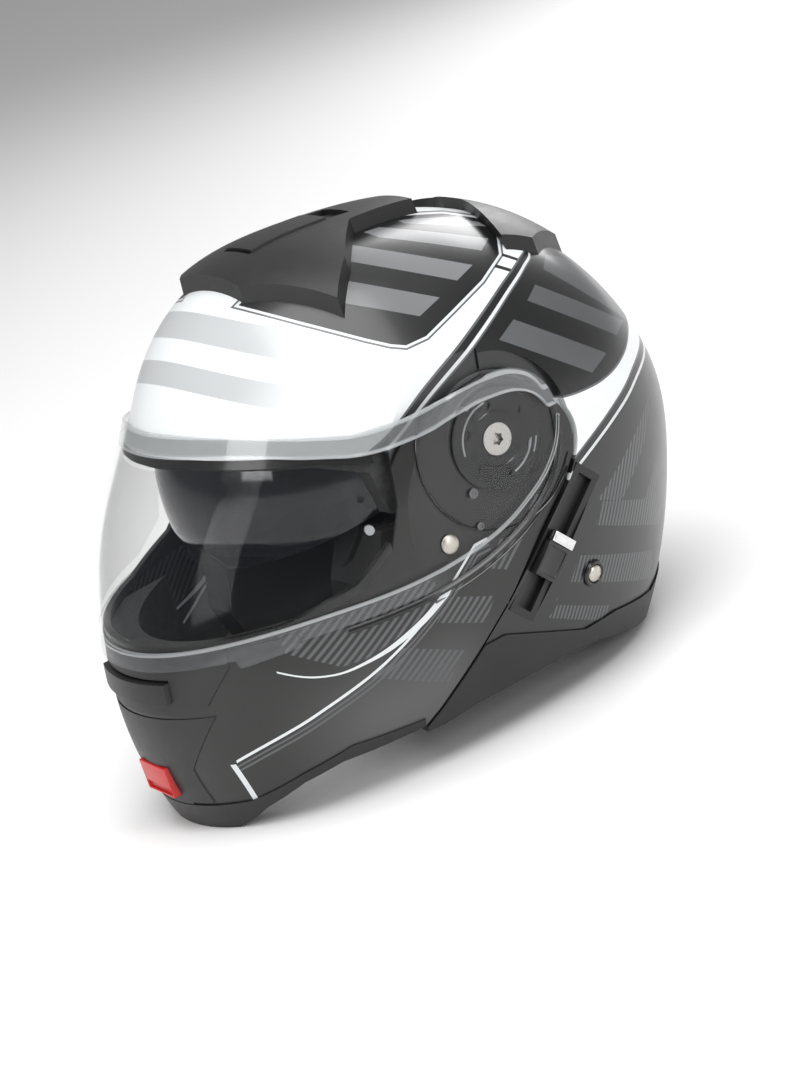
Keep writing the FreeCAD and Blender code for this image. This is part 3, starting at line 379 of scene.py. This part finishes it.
def shell_paint():
    board = Board("shell_paint")
    across, y, z, _ = board.place()
    angle = board.math("MULTIPLY", board.math("ARCTAN2", z, across), 180 / math.pi * GIRTH)
    dome = board.pair(y, angle)
    plane = board.slanted(across, y, z, PLANE_BACK, PLANE_UP)
    side = board.pair(y, z)
    edge = board.curve(y, girth(BAND_EDGE), 0, 180)
    above = board.math("SUBTRACT", angle, edge)
    colour = board.coat(BLACK, WHITE, board.math("GREATER_THAN", above, 0))
    # Brow stripes, which fade into the white towards the sides.
    fade = board.ramp(across, 104, 52)
    curl = board.math("MULTIPLY", across, across)
    for height, half in ((89, 4.6), (71, 4.8)):
        centre = board.math("MULTIPLY_ADD", curl, -0.0026, height)
        off = board.math("ABSOLUTE", board.math("SUBTRACT", z, centre))
        front = board.math("LESS_THAN", y, -20)
        stripe = board.both(board.math("LESS_THAN", off, half), fade, front)
        colour = board.coat(colour, (0.50, 0.515, 0.525, 1), stripe)
    patch = board.depth_in(plane, CROWN_PATCH)
    upper = board.math("GREATER_THAN", z, 30)
    for low, high, ink in ((-3.2, -2.2, EDGE_GREY), (-2.2, -0.9, LINE_WHITE), (-0.9, 200, BLACK)):
        colour = board.coat(colour, ink, board.both(upper, board.between(patch, low, high)))
    shade = board.ramp(y, -60, 70)
    bar_ink = board.coat(BAR, (0.20, 0.205, 0.21, 1), shade)
    in_patch = board.both(upper, board.math("GREATER_THAN", patch, 1.5))
    for bar in CROWN_BARS:
        colour = board.coat(colour, bar_ink, board.both(in_patch, board.inside(plane, bar)))
    for cut in BAND_CUTS:
        outside = board.math("LESS_THAN", patch, -2.5)
        colour = board.coat(colour, BLACK, board.both(outside, board.inside(dome, cut)))
    on_band = board.math("LESS_THAN", y, 78)
    for low, high, ink in ((0, 1.3, EDGE_GREY), (-5.4, -3.6, LINE_WHITE), (-6.4, -5.4, EDGE_GREY)):
        line = board.both(board.between(above, low, high), on_band)
        colour = board.coat(colour, ink, line)
    rear_ink = board.coat(REAR_BAR, (0.10, 0.105, 0.11, 1), board.ramp(y, 100, 30))
    on_side = board.both(board.math("GREATER_THAN", across, 38), board.math("GREATER_THAN", y, 10))
    for bar in REAR_BARS:
        colour = board.coat(colour, rear_ink, board.both(on_side, board.inside(plane, bar)))
    top = board.curve(y, LOWER_BAND_TOP, -60, 40)
    base = board.curve(y, LOWER_BAND_BASE, -60, 40)
    below_top = board.math("SUBTRACT", top, z)
    over_base = board.math("SUBTRACT", z, base)
    behind = board.math("GREATER_THAN", y, 22)
    under_top = board.math("GREATER_THAN", below_top, 0)
    band = board.both(under_top, board.math("GREATER_THAN", over_base, 0), behind)
    colour = board.coat(colour, WHITE, band)
    for value, low, high, ink in ((below_top, 0, 1.1, EDGE_GREY), (over_base, 0, 1.1, EDGE_GREY)):
        colour = board.coat(colour, ink, board.both(band, board.between(value, low, high)))
    thin = board.both(board.between(over_base, -5.6, -3.8), behind)
    colour = board.coat(colour, LINE_WHITE, thin)
    slant = board.math("MULTIPLY_ADD", z, -0.62, board.math("MULTIPLY", y, 0.95))
    stripes = board.math("LESS_THAN", board.math("FRACT", board.math("DIVIDE", slant, 3.0)), 0.5)
    low_fade = board.ramp(y, 132, 70)
    ink = board.coat(BLACK, HATCH, low_fade)
    for corners in HATCHED:
        colour = board.coat(colour, ink, board.both(stripes, board.inside(side, corners)))
    cloud = board.coat(colour, board.coat(colour, (0, 0, 0, 1), 0.12), board.noise(9))
    board.feed(board.shader.inputs["Base Color"], cloud)
    board.wear(60, 4, 0.10, 0.32)
    board.bump(board.noise(900, 1), 0.00004, 0.25)
    board.set(Coat_Weight=0.35, Coat_Roughness=0.16, Specular_IOR_Level=0.45)
    return board.material


# %% [markdown]
# The chin bar is the same plastic, painted from black into charcoal. Two white lines sweep back from
# the chin, each with grey lines beside it, and patches of slanted hatching fill the corners. All of
# them are drawn in side view, where the bar is nearly flat.

# %% Paint of the chin bar
SWEEP_HIGH = [(-139, -68), (-118, -78), (-101, -78), (-74, -71), (-55, -61.5), (-43, -54)]
SWEEP_LOW = [(-168, -113), (-162, -109), (-129, -96), (-90, -81), (-50, -58), (-30, -45)]
CHIN_HATCHED = [
    [(-133, -60), (-112, -75.5), (-100, -76), (-80, -71), (-60, -63), (-57, -50), (-133, -50)],
    [(-84, -77), (-51, -94), (-63, -107), (-100, -87)],
    [(-52, -63), (-28, -74), (-37, -85), (-62, -73)],
    [(-16, -48), (-3, -54), (-16, -65), (-29, -58)],
    [(9, -35), (14, -37), (9, -45), (5, -43)],
]


def chin_paint():
    board = Board("chin_paint")
    across, y, z, _ = board.place()
    side = board.pair(y, z)
    low = board.ramp(z, -62, -112)
    middle = board.both(board.ramp(y, -158, -92), board.ramp(y, -18, -66))
    colour = board.coat(grey(0.012, 0.05), grey(0.075), board.both(low, middle))
    slant = board.math("MULTIPLY_ADD", z, -0.80, board.math("MULTIPLY", y, 0.60))
    stripes = board.math("LESS_THAN", board.math("FRACT", board.math("DIVIDE", slant, 3.3)), 0.48)
    for corners in CHIN_HATCHED:
        colour = board.coat(colour, HATCH, board.both(stripes, board.inside(side, corners)))
    high = board.math("SUBTRACT", z, board.curve(y, SWEEP_HIGH, -100, -40))
    on_high = board.between(y, -139, -43)
    width = board.both(board.ramp(y, -120, -56), board.ramp(y, -43, -54))
    off = board.math("SUBTRACT", board.math("ABSOLUTE", high), board.math("MULTIPLY_ADD", width, 1.5, 0.5))
    colour = board.coat(colour, LINE_WHITE, board.both(on_high, board.math("LESS_THAN", off, 0)))
    sweep = board.math("SUBTRACT", z, board.curve(y, SWEEP_LOW, -120, -30))
    on_low = board.between(y, -165, -22)
    for start, end, ink in ((-0.8, 0.8, LINE_WHITE), (-3.6, -2.5, HATCH), (-6.2, -5.0, HATCH)):
        colour = board.coat(colour, ink, board.both(on_low, board.between(sweep, start, end)))
    foot = [(-167.5, -112), (-165.5, -112), (-159.5, -138), (-161.5, -138)]
    colour = board.coat(colour, LINE_WHITE, board.inside(side, foot))
    board.feed(board.shader.inputs["Base Color"], colour)
    board.wear(60, 4, 0.10, 0.35)
    board.bump(board.noise(900, 1), 0.00004, 0.25)
    board.set(Coat_Weight=0.2, Coat_Roughness=0.2, Specular_IOR_Level=0.45)
    return board.material


# %% [markdown]
# The vents, trims, rail and panels are moulded nylon with a fine spark-eroded grain, blacker and
# duller than the paint. Rubber is a little shinier and has no grain, metal is brushed, and the foam
# behind the lining shows its beads. Each is one short board.

# %% Plastics, rubber, foam and metals
def moulded(name, level, rough, grain, coat=0.0):
    board = Board(name)
    tint = board.coat(grey(level), grey(level * 1.7 + 0.003), board.noise(35, 3))
    board.feed(board.shader.inputs["Base Color"], tint)
    board.wear(140, 3, 0.14, rough)
    board.bump(board.noise(2600, 2), grain, 0.5)
    board.set(Specular_IOR_Level=0.4, Coat_Weight=coat)
    return board.material


def metal(name, colour, rough, brush=700.0):
    board = Board(name)
    tint = board.coat(colour, tuple(c * 0.72 for c in colour[:3]) + (1,), board.noise(brush, 2))
    board.feed(board.shader.inputs["Base Color"], tint)
    board.wear(220, 3, 0.16, rough)
    board.bump(board.noise(brush * 2), 0.00002, 0.3)
    board.set(Metallic=1.0)
    return board.material


def foam_beads():
    board = Board("foam_beads")
    cells = board.add("ShaderNodeTexVoronoi")
    cells.inputs["Scale"].default_value = 320
    board.feed(cells.inputs["Vector"], board.add("ShaderNodeTexCoord").outputs["Object"])
    tint = board.coat(grey(0.02), grey(0.045), cells.outputs["Distance"])
    board.feed(board.shader.inputs["Base Color"], tint)
    board.bump(cells.outputs["Distance"], 0.0003, 0.6)
    board.set(Roughness=0.75)
    return board.material


def button_red():
    board = Board("button_red")
    tint = board.coat((0.62, 0.018, 0.014, 1), (0.42, 0.010, 0.008, 1), board.noise(80, 3))
    board.feed(board.shader.inputs["Base Color"], tint)
    board.bump(board.noise(1800), 0.00003, 0.4)
    board.set(Roughness=0.33)
    return board.material


# %% Mix the plastics and metals
satin_black = moulded("satin_black_nylon", 0.010, 0.42, 0.00004)
panel_black = moulded("panel_black", 0.014, 0.46, 0.00005)
gloss_black = moulded("gloss_black", 0.006, 0.16, 0.00001, 0.3)
rubber = moulded("rubber_black", 0.008, 0.24, 0.00002, 0.2)
red_plastic = button_red()
steel = metal("brushed_steel", (0.50, 0.49, 0.47, 1), 0.30)
dark_steel = metal("dark_steel", (0.16, 0.16, 0.165, 1), 0.38)
chrome = metal("bright_trim", (0.82, 0.82, 0.82, 1), 0.12)
stud_metal = metal("stud_nickel", (0.60, 0.57, 0.51, 1), 0.36)
foam = foam_beads()
print("mixed", len(bpy.data.materials), "materials so far")

# %% [markdown]
# The visor is thick clear polycarbonate with bevelled bands along its top and bottom edges. Real
# refraction through a thin shell mostly adds noise, so the sheet lets light straight through by its
# alpha, reflects more at a glancing angle, and grows denser in those bands. Their pale grey is a
# painted reflection, and thin pale lines along the bevels are painted highlights. The inner sun visor
# is the same plastic with a dark tint.

# %% Clear and tinted plastic
VISOR_TOP = [(-185, 48), (-123, 47), (-86, 36), (-68, 31), (-44, 30), (-17, 32), (2, 32), (20, 28),
             (32, 14)]
VISOR_BASE = [(-185, -58), (-125, -55), (-61, -55), (-19, -51), (6, -42), (24, -30), (36, -10)]


def clear_visor():
    board = Board("clear_visor")
    _, y, z, _ = board.place()
    from_top = board.math("SUBTRACT", board.curve(y, VISOR_TOP, -60, 60), z)
    from_base = board.math("SUBTRACT", z, board.curve(y, VISOR_BASE, -60, 60))
    top_band = board.ramp(from_top, 10.5, 8.5)
    base_band = board.both(board.ramp(from_base, 8.5, 7), board.ramp(y, -40, -70))
    # Thin pale lines along the bevels' edges and along the top edge are painted highlights.
    ridge_glint = board.math("MAXIMUM", board.between(from_top, 9.2, 10.6), board.between(from_base, 7.0, 8.2))
    ridge_glint = board.math("MAXIMUM", ridge_glint, board.between(from_top, -1, 1.3))
    graze = board.add("ShaderNodeLayerWeight")
    graze.inputs["Blend"].default_value = 0.28
    edge = board.math("MULTIPLY_ADD", graze.outputs["Facing"], 0.16, 0.02)
    low_band = board.math("MULTIPLY", base_band, 0.22)
    band = board.math("MAXIMUM", board.math("MULTIPLY", top_band, 0.34), low_band)
    alpha = board.math("MAXIMUM", board.math("MAXIMUM", edge, band), board.math("MULTIPLY", ridge_glint, 0.5))
    board.feed(board.shader.inputs["Alpha"], alpha)
    # The pale grey in the edge bands and lines is painted reflection and highlight, not the plastic's own
    # colour.
    painted_edge_reflection = board.coat((0.05, 0.055, 0.06, 1), (0.50, 0.52, 0.53, 1), board.math("MAXIMUM", band, ridge_glint))
    board.feed(board.shader.inputs["Base Color"], painted_edge_reflection)
    board.wear(40, 2, 0.05, 0.045)
    board.set(Specular_IOR_Level=0.75, Coat_Weight=0.5, Coat_Roughness=0.02)
    return board.material


def see_through(name, colour, low, high):
    """Tinted sheet whose alpha grows from low, seen square on, to high at a glancing angle."""
    board = Board(name)
    graze = board.add("ShaderNodeLayerWeight")
    graze.inputs["Blend"].default_value = 0.3
    alpha = board.math("MULTIPLY_ADD", graze.outputs["Facing"], high - low, low)
    board.feed(board.shader.inputs["Alpha"], alpha)
    tint = board.coat(colour, tuple(c * 0.8 for c in colour[:3]) + (1,), board.noise(14))
    board.feed(board.shader.inputs["Base Color"], tint)
    board.wear(50, 2, 0.04, 0.05)
    board.set(Specular_IOR_Level=0.6)
    return board.material


visor_clear = clear_visor()
lens_clear = see_through("anti_fog_lens", (0.03, 0.033, 0.05, 1), 0.03, 0.12)
sun_tint = see_through("sun_visor_tint", (0.012, 0.013, 0.016, 1), 0.86, 0.97)
pin_clear = see_through("clear_pin", (0.6, 0.62, 0.64, 1), 0.4, 0.8)

# %% [markdown]
# Every CAD piece gets one finish. A loop could guess it from the piece's name, but a table that a
# reader can check is plainer, and whatever it doesn't name is satin black nylon.

# %% Put the finishes on the CAD pieces
FINISH = {
    "outer_shell": shell_paint(), "chin_shell": chin_paint(), "visor": visor_clear,
    "pinlock_lens": lens_clear, "pinlock_pins": pin_clear, "sun_visor": sun_tint,
    "impact_liner": foam, "chin_liner": foam, "eyeport_gasket": rubber, "chin_gasket": rubber,
    "base_plate_left": dark_steel, "base_plate_right": dark_steel,
    "pivot_screw_left": steel, "pivot_screw_right": steel, "sun_visor_pins": steel,
    "latch_posts": steel, "hook_pins": steel, "latch_hook_left": steel, "latch_hook_right": steel,
    "strap_rivets": steel, "ratchet_buckle": dark_steel, "buckle_lever": steel,
    "shell_studs": stud_metal, "chin_studs": stud_metal, "latch_button": red_plastic,
    "mouth_panel": panel_black, "chin_centre_panel": panel_black, "mouth_vent_shutter": satin_black,
    "visor_plate_left": gloss_black, "visor_plate_right": gloss_black,
    "sun_visor_slider": gloss_black,
}
for name, node in frame["nodes"].items():
    finish = FINISH.get(name, satin_black)
    for slot in node.material_slots:
        slot.material = finish
    if not node.material_slots:
        node.data.materials.append(finish)
print("finished", len(frame["nodes"]), "CAD pieces in", len(bpy.data.materials), "materials")

# %% [markdown]
# Small pieces follow the shell. Their places could be worked out from the hull's formula, but a ray
# sent at a CAD piece from outside finds the surface itself, so a bead or a stud always sits on it.

# %% Find places on the CAD pieces
def cast(names, start, direction):
    """Nearest point and normal that a ray meets on the named CAD pieces."""
    found = []
    for name in names:
        hit, point, normal, _ = frame["nodes"][name].ray_cast(start, direction)
        if hit:
            found.append(((point - start).length, point.copy(), normal.copy()))
    if not found:
        raise ValueError(f"no surface of {names} from {tuple(start)}")
    return min(found, key=lambda item: item[0])[1:]


def side_spot(names, y, z, lift=0.0):
    """Point on the left side, y and z in millimetres from the pivot."""
    point, normal = cast(names, pivot + Vector((0.2, y * MM, z * MM)), Vector((-1, 0, 0)))
    return point + normal * lift * MM


# %% [markdown]
# The helmet is the same on both sides, so a piece is made once on the left. Its twin on the right is
# a mirrored copy with a mesh of its own, whose faces are flipped to point outwards again.

# %% Finish a new piece and its mirror image
def apply_modifiers(piece):
    quiet()
    piece.select_set(True)
    bpy.context.view_layer.objects.active = piece
    for modifier in list(piece.modifiers):
        bpy.ops.object.modifier_apply(modifier=modifier.name)


SMOOTH_BELOW = math.radians(35.0)


def settle(piece, name, material, body, stands_for=()):
    """Names a piece, gives it its finish and its body, and puts its place into its mesh."""
    apply_modifiers(piece)
    bpy.ops.object.transform_apply(location=True, rotation=True, scale=True)
    bpy.ops.object.shade_smooth_by_angle(angle=SMOOTH_BELOW)
    piece.name = name
    piece.data.name = name
    piece.data.materials.clear()
    piece.data.materials.append(material)
    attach(piece, body)
    if stands_for:
        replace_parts(piece, *stands_for)
    return piece


def twin(piece, name, stands_for=()):
    """Mirror image of a piece on the right side, with its own mesh."""
    copy = piece.copy()
    copy.data = piece.data.copy()
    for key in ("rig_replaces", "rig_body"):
        if key in copy:
            del copy[key]
    bpy.context.scene.collection.objects.link(copy)
    copy.parent = None
    copy.data.transform(Matrix.Scale(-1, 4, (1, 0, 0)))
    copy.data.flip_normals()
    copy.name = name
    copy.data.name = name
    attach(copy, piece["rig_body"])
    if stands_for:
        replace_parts(copy, *stands_for)
    return copy


def join(pieces):
    quiet()
    for piece in pieces:
        piece.select_set(True)
    bpy.context.view_layer.objects.active = pieces[0]
    bpy.ops.object.join()
    return bpy.context.object


def tube(points, radius, sides=6):
    """Round bead along points, as a mesh with closed ends. The radius is in millimetres."""
    data = bpy.data.curves.new("bead", "CURVE")
    data.dimensions = "3D"
    data.bevel_depth = radius * MM
    data.bevel_resolution = sides // 2
    data.use_fill_caps = True
    data.resolution_u = 6
    line = data.splines.new("NURBS")
    line.points.add(len(points) - 1)
    for place, point in zip(line.points, points):
        place.co = (*point, 1)
    line.order_u = 4
    line.use_endpoint_u = True
    bead = bpy.data.objects.new("bead", data)
    bpy.context.scene.collection.objects.link(bead)
    quiet()
    bead.select_set(True)
    bpy.context.view_layer.objects.active = bead
    bpy.ops.object.convert(target="MESH")
    return bpy.context.object


# %% [markdown]
# A rubber bead seals the visor against the chin bar. It is a moulded tube pressed into a groove just
# outside the visor's edge. A curve with a round bevel is how such a tube is drawn, and the curve's
# points are found on the chin bar, so the bead lies half sunk in it.

# %% Rubber bead round the visor's edge
BEAD_LINE = [(-104, -58.5), (-90, -59), (-75, -59), (-61, -58.8), (-40, -57.2), (-19, -54), (6, -45),
             (22, -34.5), (32, -22), (36, -8), (36.5, 4)]
LIP_LINE = [(-60, -62.5), (-40, -61.5), (-18, -58), (8, -49), (26, -37.5), (37, -24)]
bead_points = [side_spot(["chin_shell"], y, z, 0.5) for y, z in BEAD_LINE]
visor_bead = settle(tube(bead_points, 1.9), "visor_bead_left", rubber, "chin_bar")
twin(visor_bead, "visor_bead_right")
lip_points = [side_spot(["chin_shell"], y, z, -0.1) for y, z in LIP_LINE]
visor_lip = settle(tube(lip_points, 0.7), "visor_lip_left", gloss_black, "chin_bar")
twin(visor_lip, "visor_lip_right")
print("beads of", len(visor_bead.data.polygons), "faces")

# %% [markdown]
# Under each end of the visor is its mechanism: a round plate with a ring about the pivot screw, two
# springy arcs that click it from step to step, a coil spring and small screws. All of it lies in the
# 2.6 mm between the chin bar's arm and the visor, so each part is low: rings, arcs and heads.

# %% Visor mechanism
MECHANISM_X = 0.1181


def on_plate(radius, degrees, lift=0.0):
    """Point on the mechanism plate, from its radius in millimetres and its angle about the pivot."""
    turn = math.radians(degrees)
    y, z = radius * math.cos(turn), radius * math.sin(turn)
    return Vector((MECHANISM_X + lift * MM, pivot.y + y * MM, pivot.z + z * MM))


def arc(radius, start, end, thick, lift=0.0, steps=14):
    """Low round bead on the plate, between two angles in degrees."""
    turns = [start + (end - start) * step / steps for step in range(steps + 1)]
    return tube([on_plate(radius, turn, lift) for turn in turns], thick)


def small_screw(y, z, radius):
    """Pan head with a round socket, facing the rider's left."""
    quiet()
    place = (MECHANISM_X, pivot.y + y * MM, pivot.z + z * MM)
    bpy.ops.mesh.primitive_cylinder_add(vertices=32, radius=radius * MM, depth=1.2 * MM, location=place,
                                        rotation=(0, math.pi / 2, 0))
    head = bpy.context.object
    bpy.ops.object.mode_set(mode="EDIT")
    mesh = bmesh.from_edit_mesh(head.data)
    for face in mesh.faces:
        face.select_set(face.normal.z > 0.9)
    bmesh.update_edit_mesh(head.data)
    bpy.ops.mesh.inset(thickness=radius * 0.45 * MM)
    bpy.ops.mesh.extrude_region_move(TRANSFORM_OT_translate={"value": (-0.5 * MM, 0, 0)})
    bpy.ops.object.mode_set(mode="OBJECT")
    bevel = head.modifiers.new("round", "BEVEL")
    bevel.width = 0.25 * MM
    bevel.segments = 2
    return head


SPRING_STEP = 1.05
SPRING_PITCH = 0.17


def spring_point(step):
    """Point on the coil spring, flattened to fit under the visor."""
    turn = step * SPRING_STEP
    offset = Vector((0.35 * math.sin(turn), -24 + step * SPRING_PITCH, -5 + 1.1 * math.cos(turn)))
    return on_plate(0, 0) + offset * MM


spring = tube([spring_point(step) for step in range(48)], 0.22, sides=4)
ring_parts = [arc(14.5, 0, 357, 0.8), arc(11.2, 0, 357, 0.5), arc(46, 140, 318, 0.7, -0.6, 30)]
mechanism_ring = settle(join(ring_parts), "mechanism_rings_left", gloss_black, "chin_bar")
twin(mechanism_ring, "mechanism_rings_right")
arc_parts = [arc(20, 92, 182, 0.75), arc(23, 95, 120, 0.6), arc(20, -78, -22, 0.75), arc(23, -40, -20, 0.7),
             arc(24, 128, 170, 0.45)]
mechanism_arcs = settle(join(arc_parts), "mechanism_arcs_left", pin_clear, "chin_bar")
twin(mechanism_arcs, "mechanism_arcs_right")
screw_parts = [small_screw(-22, -20, 2.6), small_screw(-24, -37, 2.0), small_screw(20, 27, 1.6), spring]
mechanism_screws = settle(join(screw_parts), "mechanism_screws_left", dark_steel, "chin_bar")
twin(mechanism_screws, "mechanism_screws_right")
print("mechanism parts:", len(ring_parts) + len(arc_parts) + len(screw_parts), "a side")

# %% [markdown]
# Two nickel studs show on each side: one on the chin bar's arm, and one on the shell behind, in a dark
# ring with a bright edge. A stud is a shallow dome with a rolled foot. A sphere cut flat gives the
# dome, and a torus the ring.

# %% Studs
def stud_dome(point, normal, radius, rise):
    quiet()
    bpy.ops.mesh.primitive_uv_sphere_add(segments=40, ring_count=20, radius=radius * MM)
    stud = bpy.context.object
    bpy.ops.object.mode_set(mode="EDIT")
    bpy.ops.mesh.select_all(action="SELECT")
    bpy.ops.mesh.bisect(plane_co=(0, 0, 0), plane_no=(0, 0, 1), clear_inner=True, use_fill=True)
    bpy.ops.mesh.extrude_region_move(TRANSFORM_OT_translate={"value": (0, 0, -1.2 * MM)})
    bpy.ops.object.mode_set(mode="OBJECT")
    stud.scale = (1, 1, rise / radius)
    stud.location = point
    stud.rotation_euler = normal.to_track_quat("Z", "Y").to_euler()
    return stud


def ring(point, normal, radius, thick):
    quiet()
    bpy.ops.mesh.primitive_torus_add(major_radius=radius * MM, minor_radius=thick * MM, major_segments=56,
                                     minor_segments=14)
    made = bpy.context.object
    made.location = point
    made.rotation_euler = normal.to_track_quat("Z", "Y").to_euler()
    return made


INWARD = Vector((-1, 0, 0))
SUNK = 0.6 * MM
shell_spot, shell_normal = cast(["outer_shell", "shell_studs"], pivot + Vector((0.2, 0.034, -0.092)), INWARD)
chin_spot, chin_normal = cast(["chin_shell", "chin_studs"], pivot + Vector((0.2, -0.043, -0.038)), INWARD)
shell_dome = stud_dome(shell_spot, shell_normal, 4.6, 1.6)
shell_stud = settle(shell_dome, "shell_stud_left", stud_metal, "shell", ["shell_studs"])
twin(shell_stud, "shell_stud_right", ["shell_studs"])
rolled_ring = ring(shell_spot - shell_normal * SUNK, shell_normal, 6.0, 1.3)
stud_ring = settle(rolled_ring, "stud_ring_left", gloss_black, "shell")
twin(stud_ring, "stud_ring_right")
chin_dome = stud_dome(chin_spot - chin_normal * SUNK, chin_normal, 5.0, 1.3)
chin_stud = settle(chin_dome, "chin_stud_left", stud_metal, "chin_bar", ["chin_studs"])
twin(chin_stud, "chin_stud_right", ["chin_studs"])
print("studs at", tuple(round(c, 4) for c in shell_spot), tuple(round(c, 4) for c in chin_spot))

# %% [markdown]
# The finger slider for the sun visor is a gloss block with a bright plate at its upper end, in a sunk
# rail. Its box and its direction come from the CAD joint, and it is shaped from one cube by insets
# and bevels.

# %% Finger slider of the sun visor
rail_up = Vector(joints["sun_visor_slide"]["axis"]).normalized()
slider_node = frame["nodes"]["sun_visor_slider"].data
slider_out = max((p.normal.copy() for p in slider_node.polygons if abs(p.normal.dot(rail_up)) < 0.05),
                 key=lambda n: n.x)
slider_side = slider_out.cross(rail_up).normalized()
slider_turn = Matrix((rail_up, slider_side, slider_out)).transposed()
spots = [v.co for v in slider_node.vertices]


def reach_along(direction):
    reaches = [p.dot(direction) for p in spots]
    return min(reaches), max(reaches)


slider_low = Vector([reach_along(d)[0] for d in (rail_up, slider_side, slider_out)])
slider_high = Vector([reach_along(d)[1] for d in (rail_up, slider_side, slider_out)])


def slider_block(low, high, inset, sink, round_edge):
    """Block between two corners of the rail's own frame, with a dished outer face."""
    quiet()
    bpy.ops.mesh.primitive_cube_add(size=1)
    block = bpy.context.object
    block.scale = high - low
    block.location = (low + high) / 2
    bpy.ops.object.transform_apply(location=True, scale=True)
    bpy.ops.object.mode_set(mode="EDIT")
    mesh = bmesh.from_edit_mesh(block.data)
    for face in mesh.faces:
        face.select_set(face.normal.z > 0.9)
    bmesh.update_edit_mesh(block.data)
    bpy.ops.mesh.inset(thickness=inset * MM)
    bpy.ops.mesh.extrude_region_move(TRANSFORM_OT_translate={"value": (0, 0, -sink * MM)})
    bpy.ops.object.mode_set(mode="OBJECT")
    bevel = block.modifiers.new("round", "BEVEL")
    bevel.width = round_edge * MM
    bevel.segments = 3
    apply_modifiers(block)
    block.data.transform(slider_turn.to_4x4())
    return block


TIP_LENGTH = 5.5 * MM
TIP_GAP = 0.2 * MM
tip_start = slider_high.x - TIP_LENGTH
block_high = Vector((tip_start, slider_high.y, slider_high.z))
tip_low = Vector((tip_start + TIP_GAP, slider_low.y + TIP_GAP, slider_high.z - 3.5 * MM))
tip_high = Vector((slider_high.x, slider_high.y - TIP_GAP, slider_high.z + 0.8 * MM))
slider_body = slider_block(slider_low, block_high, 2.2, 0.7, 0.8)
settle(slider_body, "slider_block", gloss_black, "sun_visor_slider", ["sun_visor_slider"])
slider_tip = slider_block(tip_low, tip_high, 1.0, -0.3, 0.5)
settle(slider_tip, "slider_bright_tip", chrome, "sun_visor_slider")
print("slider runs along", tuple(round(c, 3) for c in rail_up))

# %% [markdown]
# The red release button has a ledge for the thumb across its middle. It keeps the CAD button's size:
# a cube cut across, with the middle band drawn out and every edge rounded.

# %% Release button
button_low, button_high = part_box("latch_button")


LEDGE_BASE = -2.2 * MM
LEDGE_TOP = 1.2 * MM
RIM = 1.2 * MM


def sink_front(block, low, high, depth):
    """Insets the front faces whose middles lie between two heights, and pushes them in."""
    mesh = bmesh.from_edit_mesh(block.data)
    for face in mesh.faces:
        face.select_set(face.normal.y < -0.9 and low < face.calc_center_median().z < high)
    bmesh.update_edit_mesh(block.data)
    bpy.ops.mesh.inset(thickness=RIM)
    bpy.ops.mesh.extrude_region_move(TRANSFORM_OT_translate={"value": (0, depth, 0)})


def release_button():
    quiet()
    bpy.ops.mesh.primitive_cube_add(size=1)
    block = bpy.context.object
    block.scale = button_high - button_low
    block.location = (button_low + button_high) / 2
    bpy.ops.object.transform_apply(location=True, scale=True)
    bpy.ops.object.mode_set(mode="EDIT")
    middle = (button_low.z + button_high.z) / 2
    for height in (middle + LEDGE_BASE, middle + LEDGE_TOP):
        bpy.ops.mesh.select_all(action="SELECT")
        bpy.ops.mesh.bisect(plane_co=(0, 0, height), plane_no=(0, 0, 1))
    sink_front(block, middle + LEDGE_TOP, button_high.z, 2.2 * MM)
    sink_front(block, button_low.z, middle + LEDGE_BASE, 1.8 * MM)
    bpy.ops.object.mode_set(mode="OBJECT")
    bevel = block.modifiers.new("round", "BEVEL")
    bevel.width = 0.7 * MM
    bevel.segments = 3
    return block


settle(release_button(), "release_button", red_plastic, "latch_button", ["latch_button"])
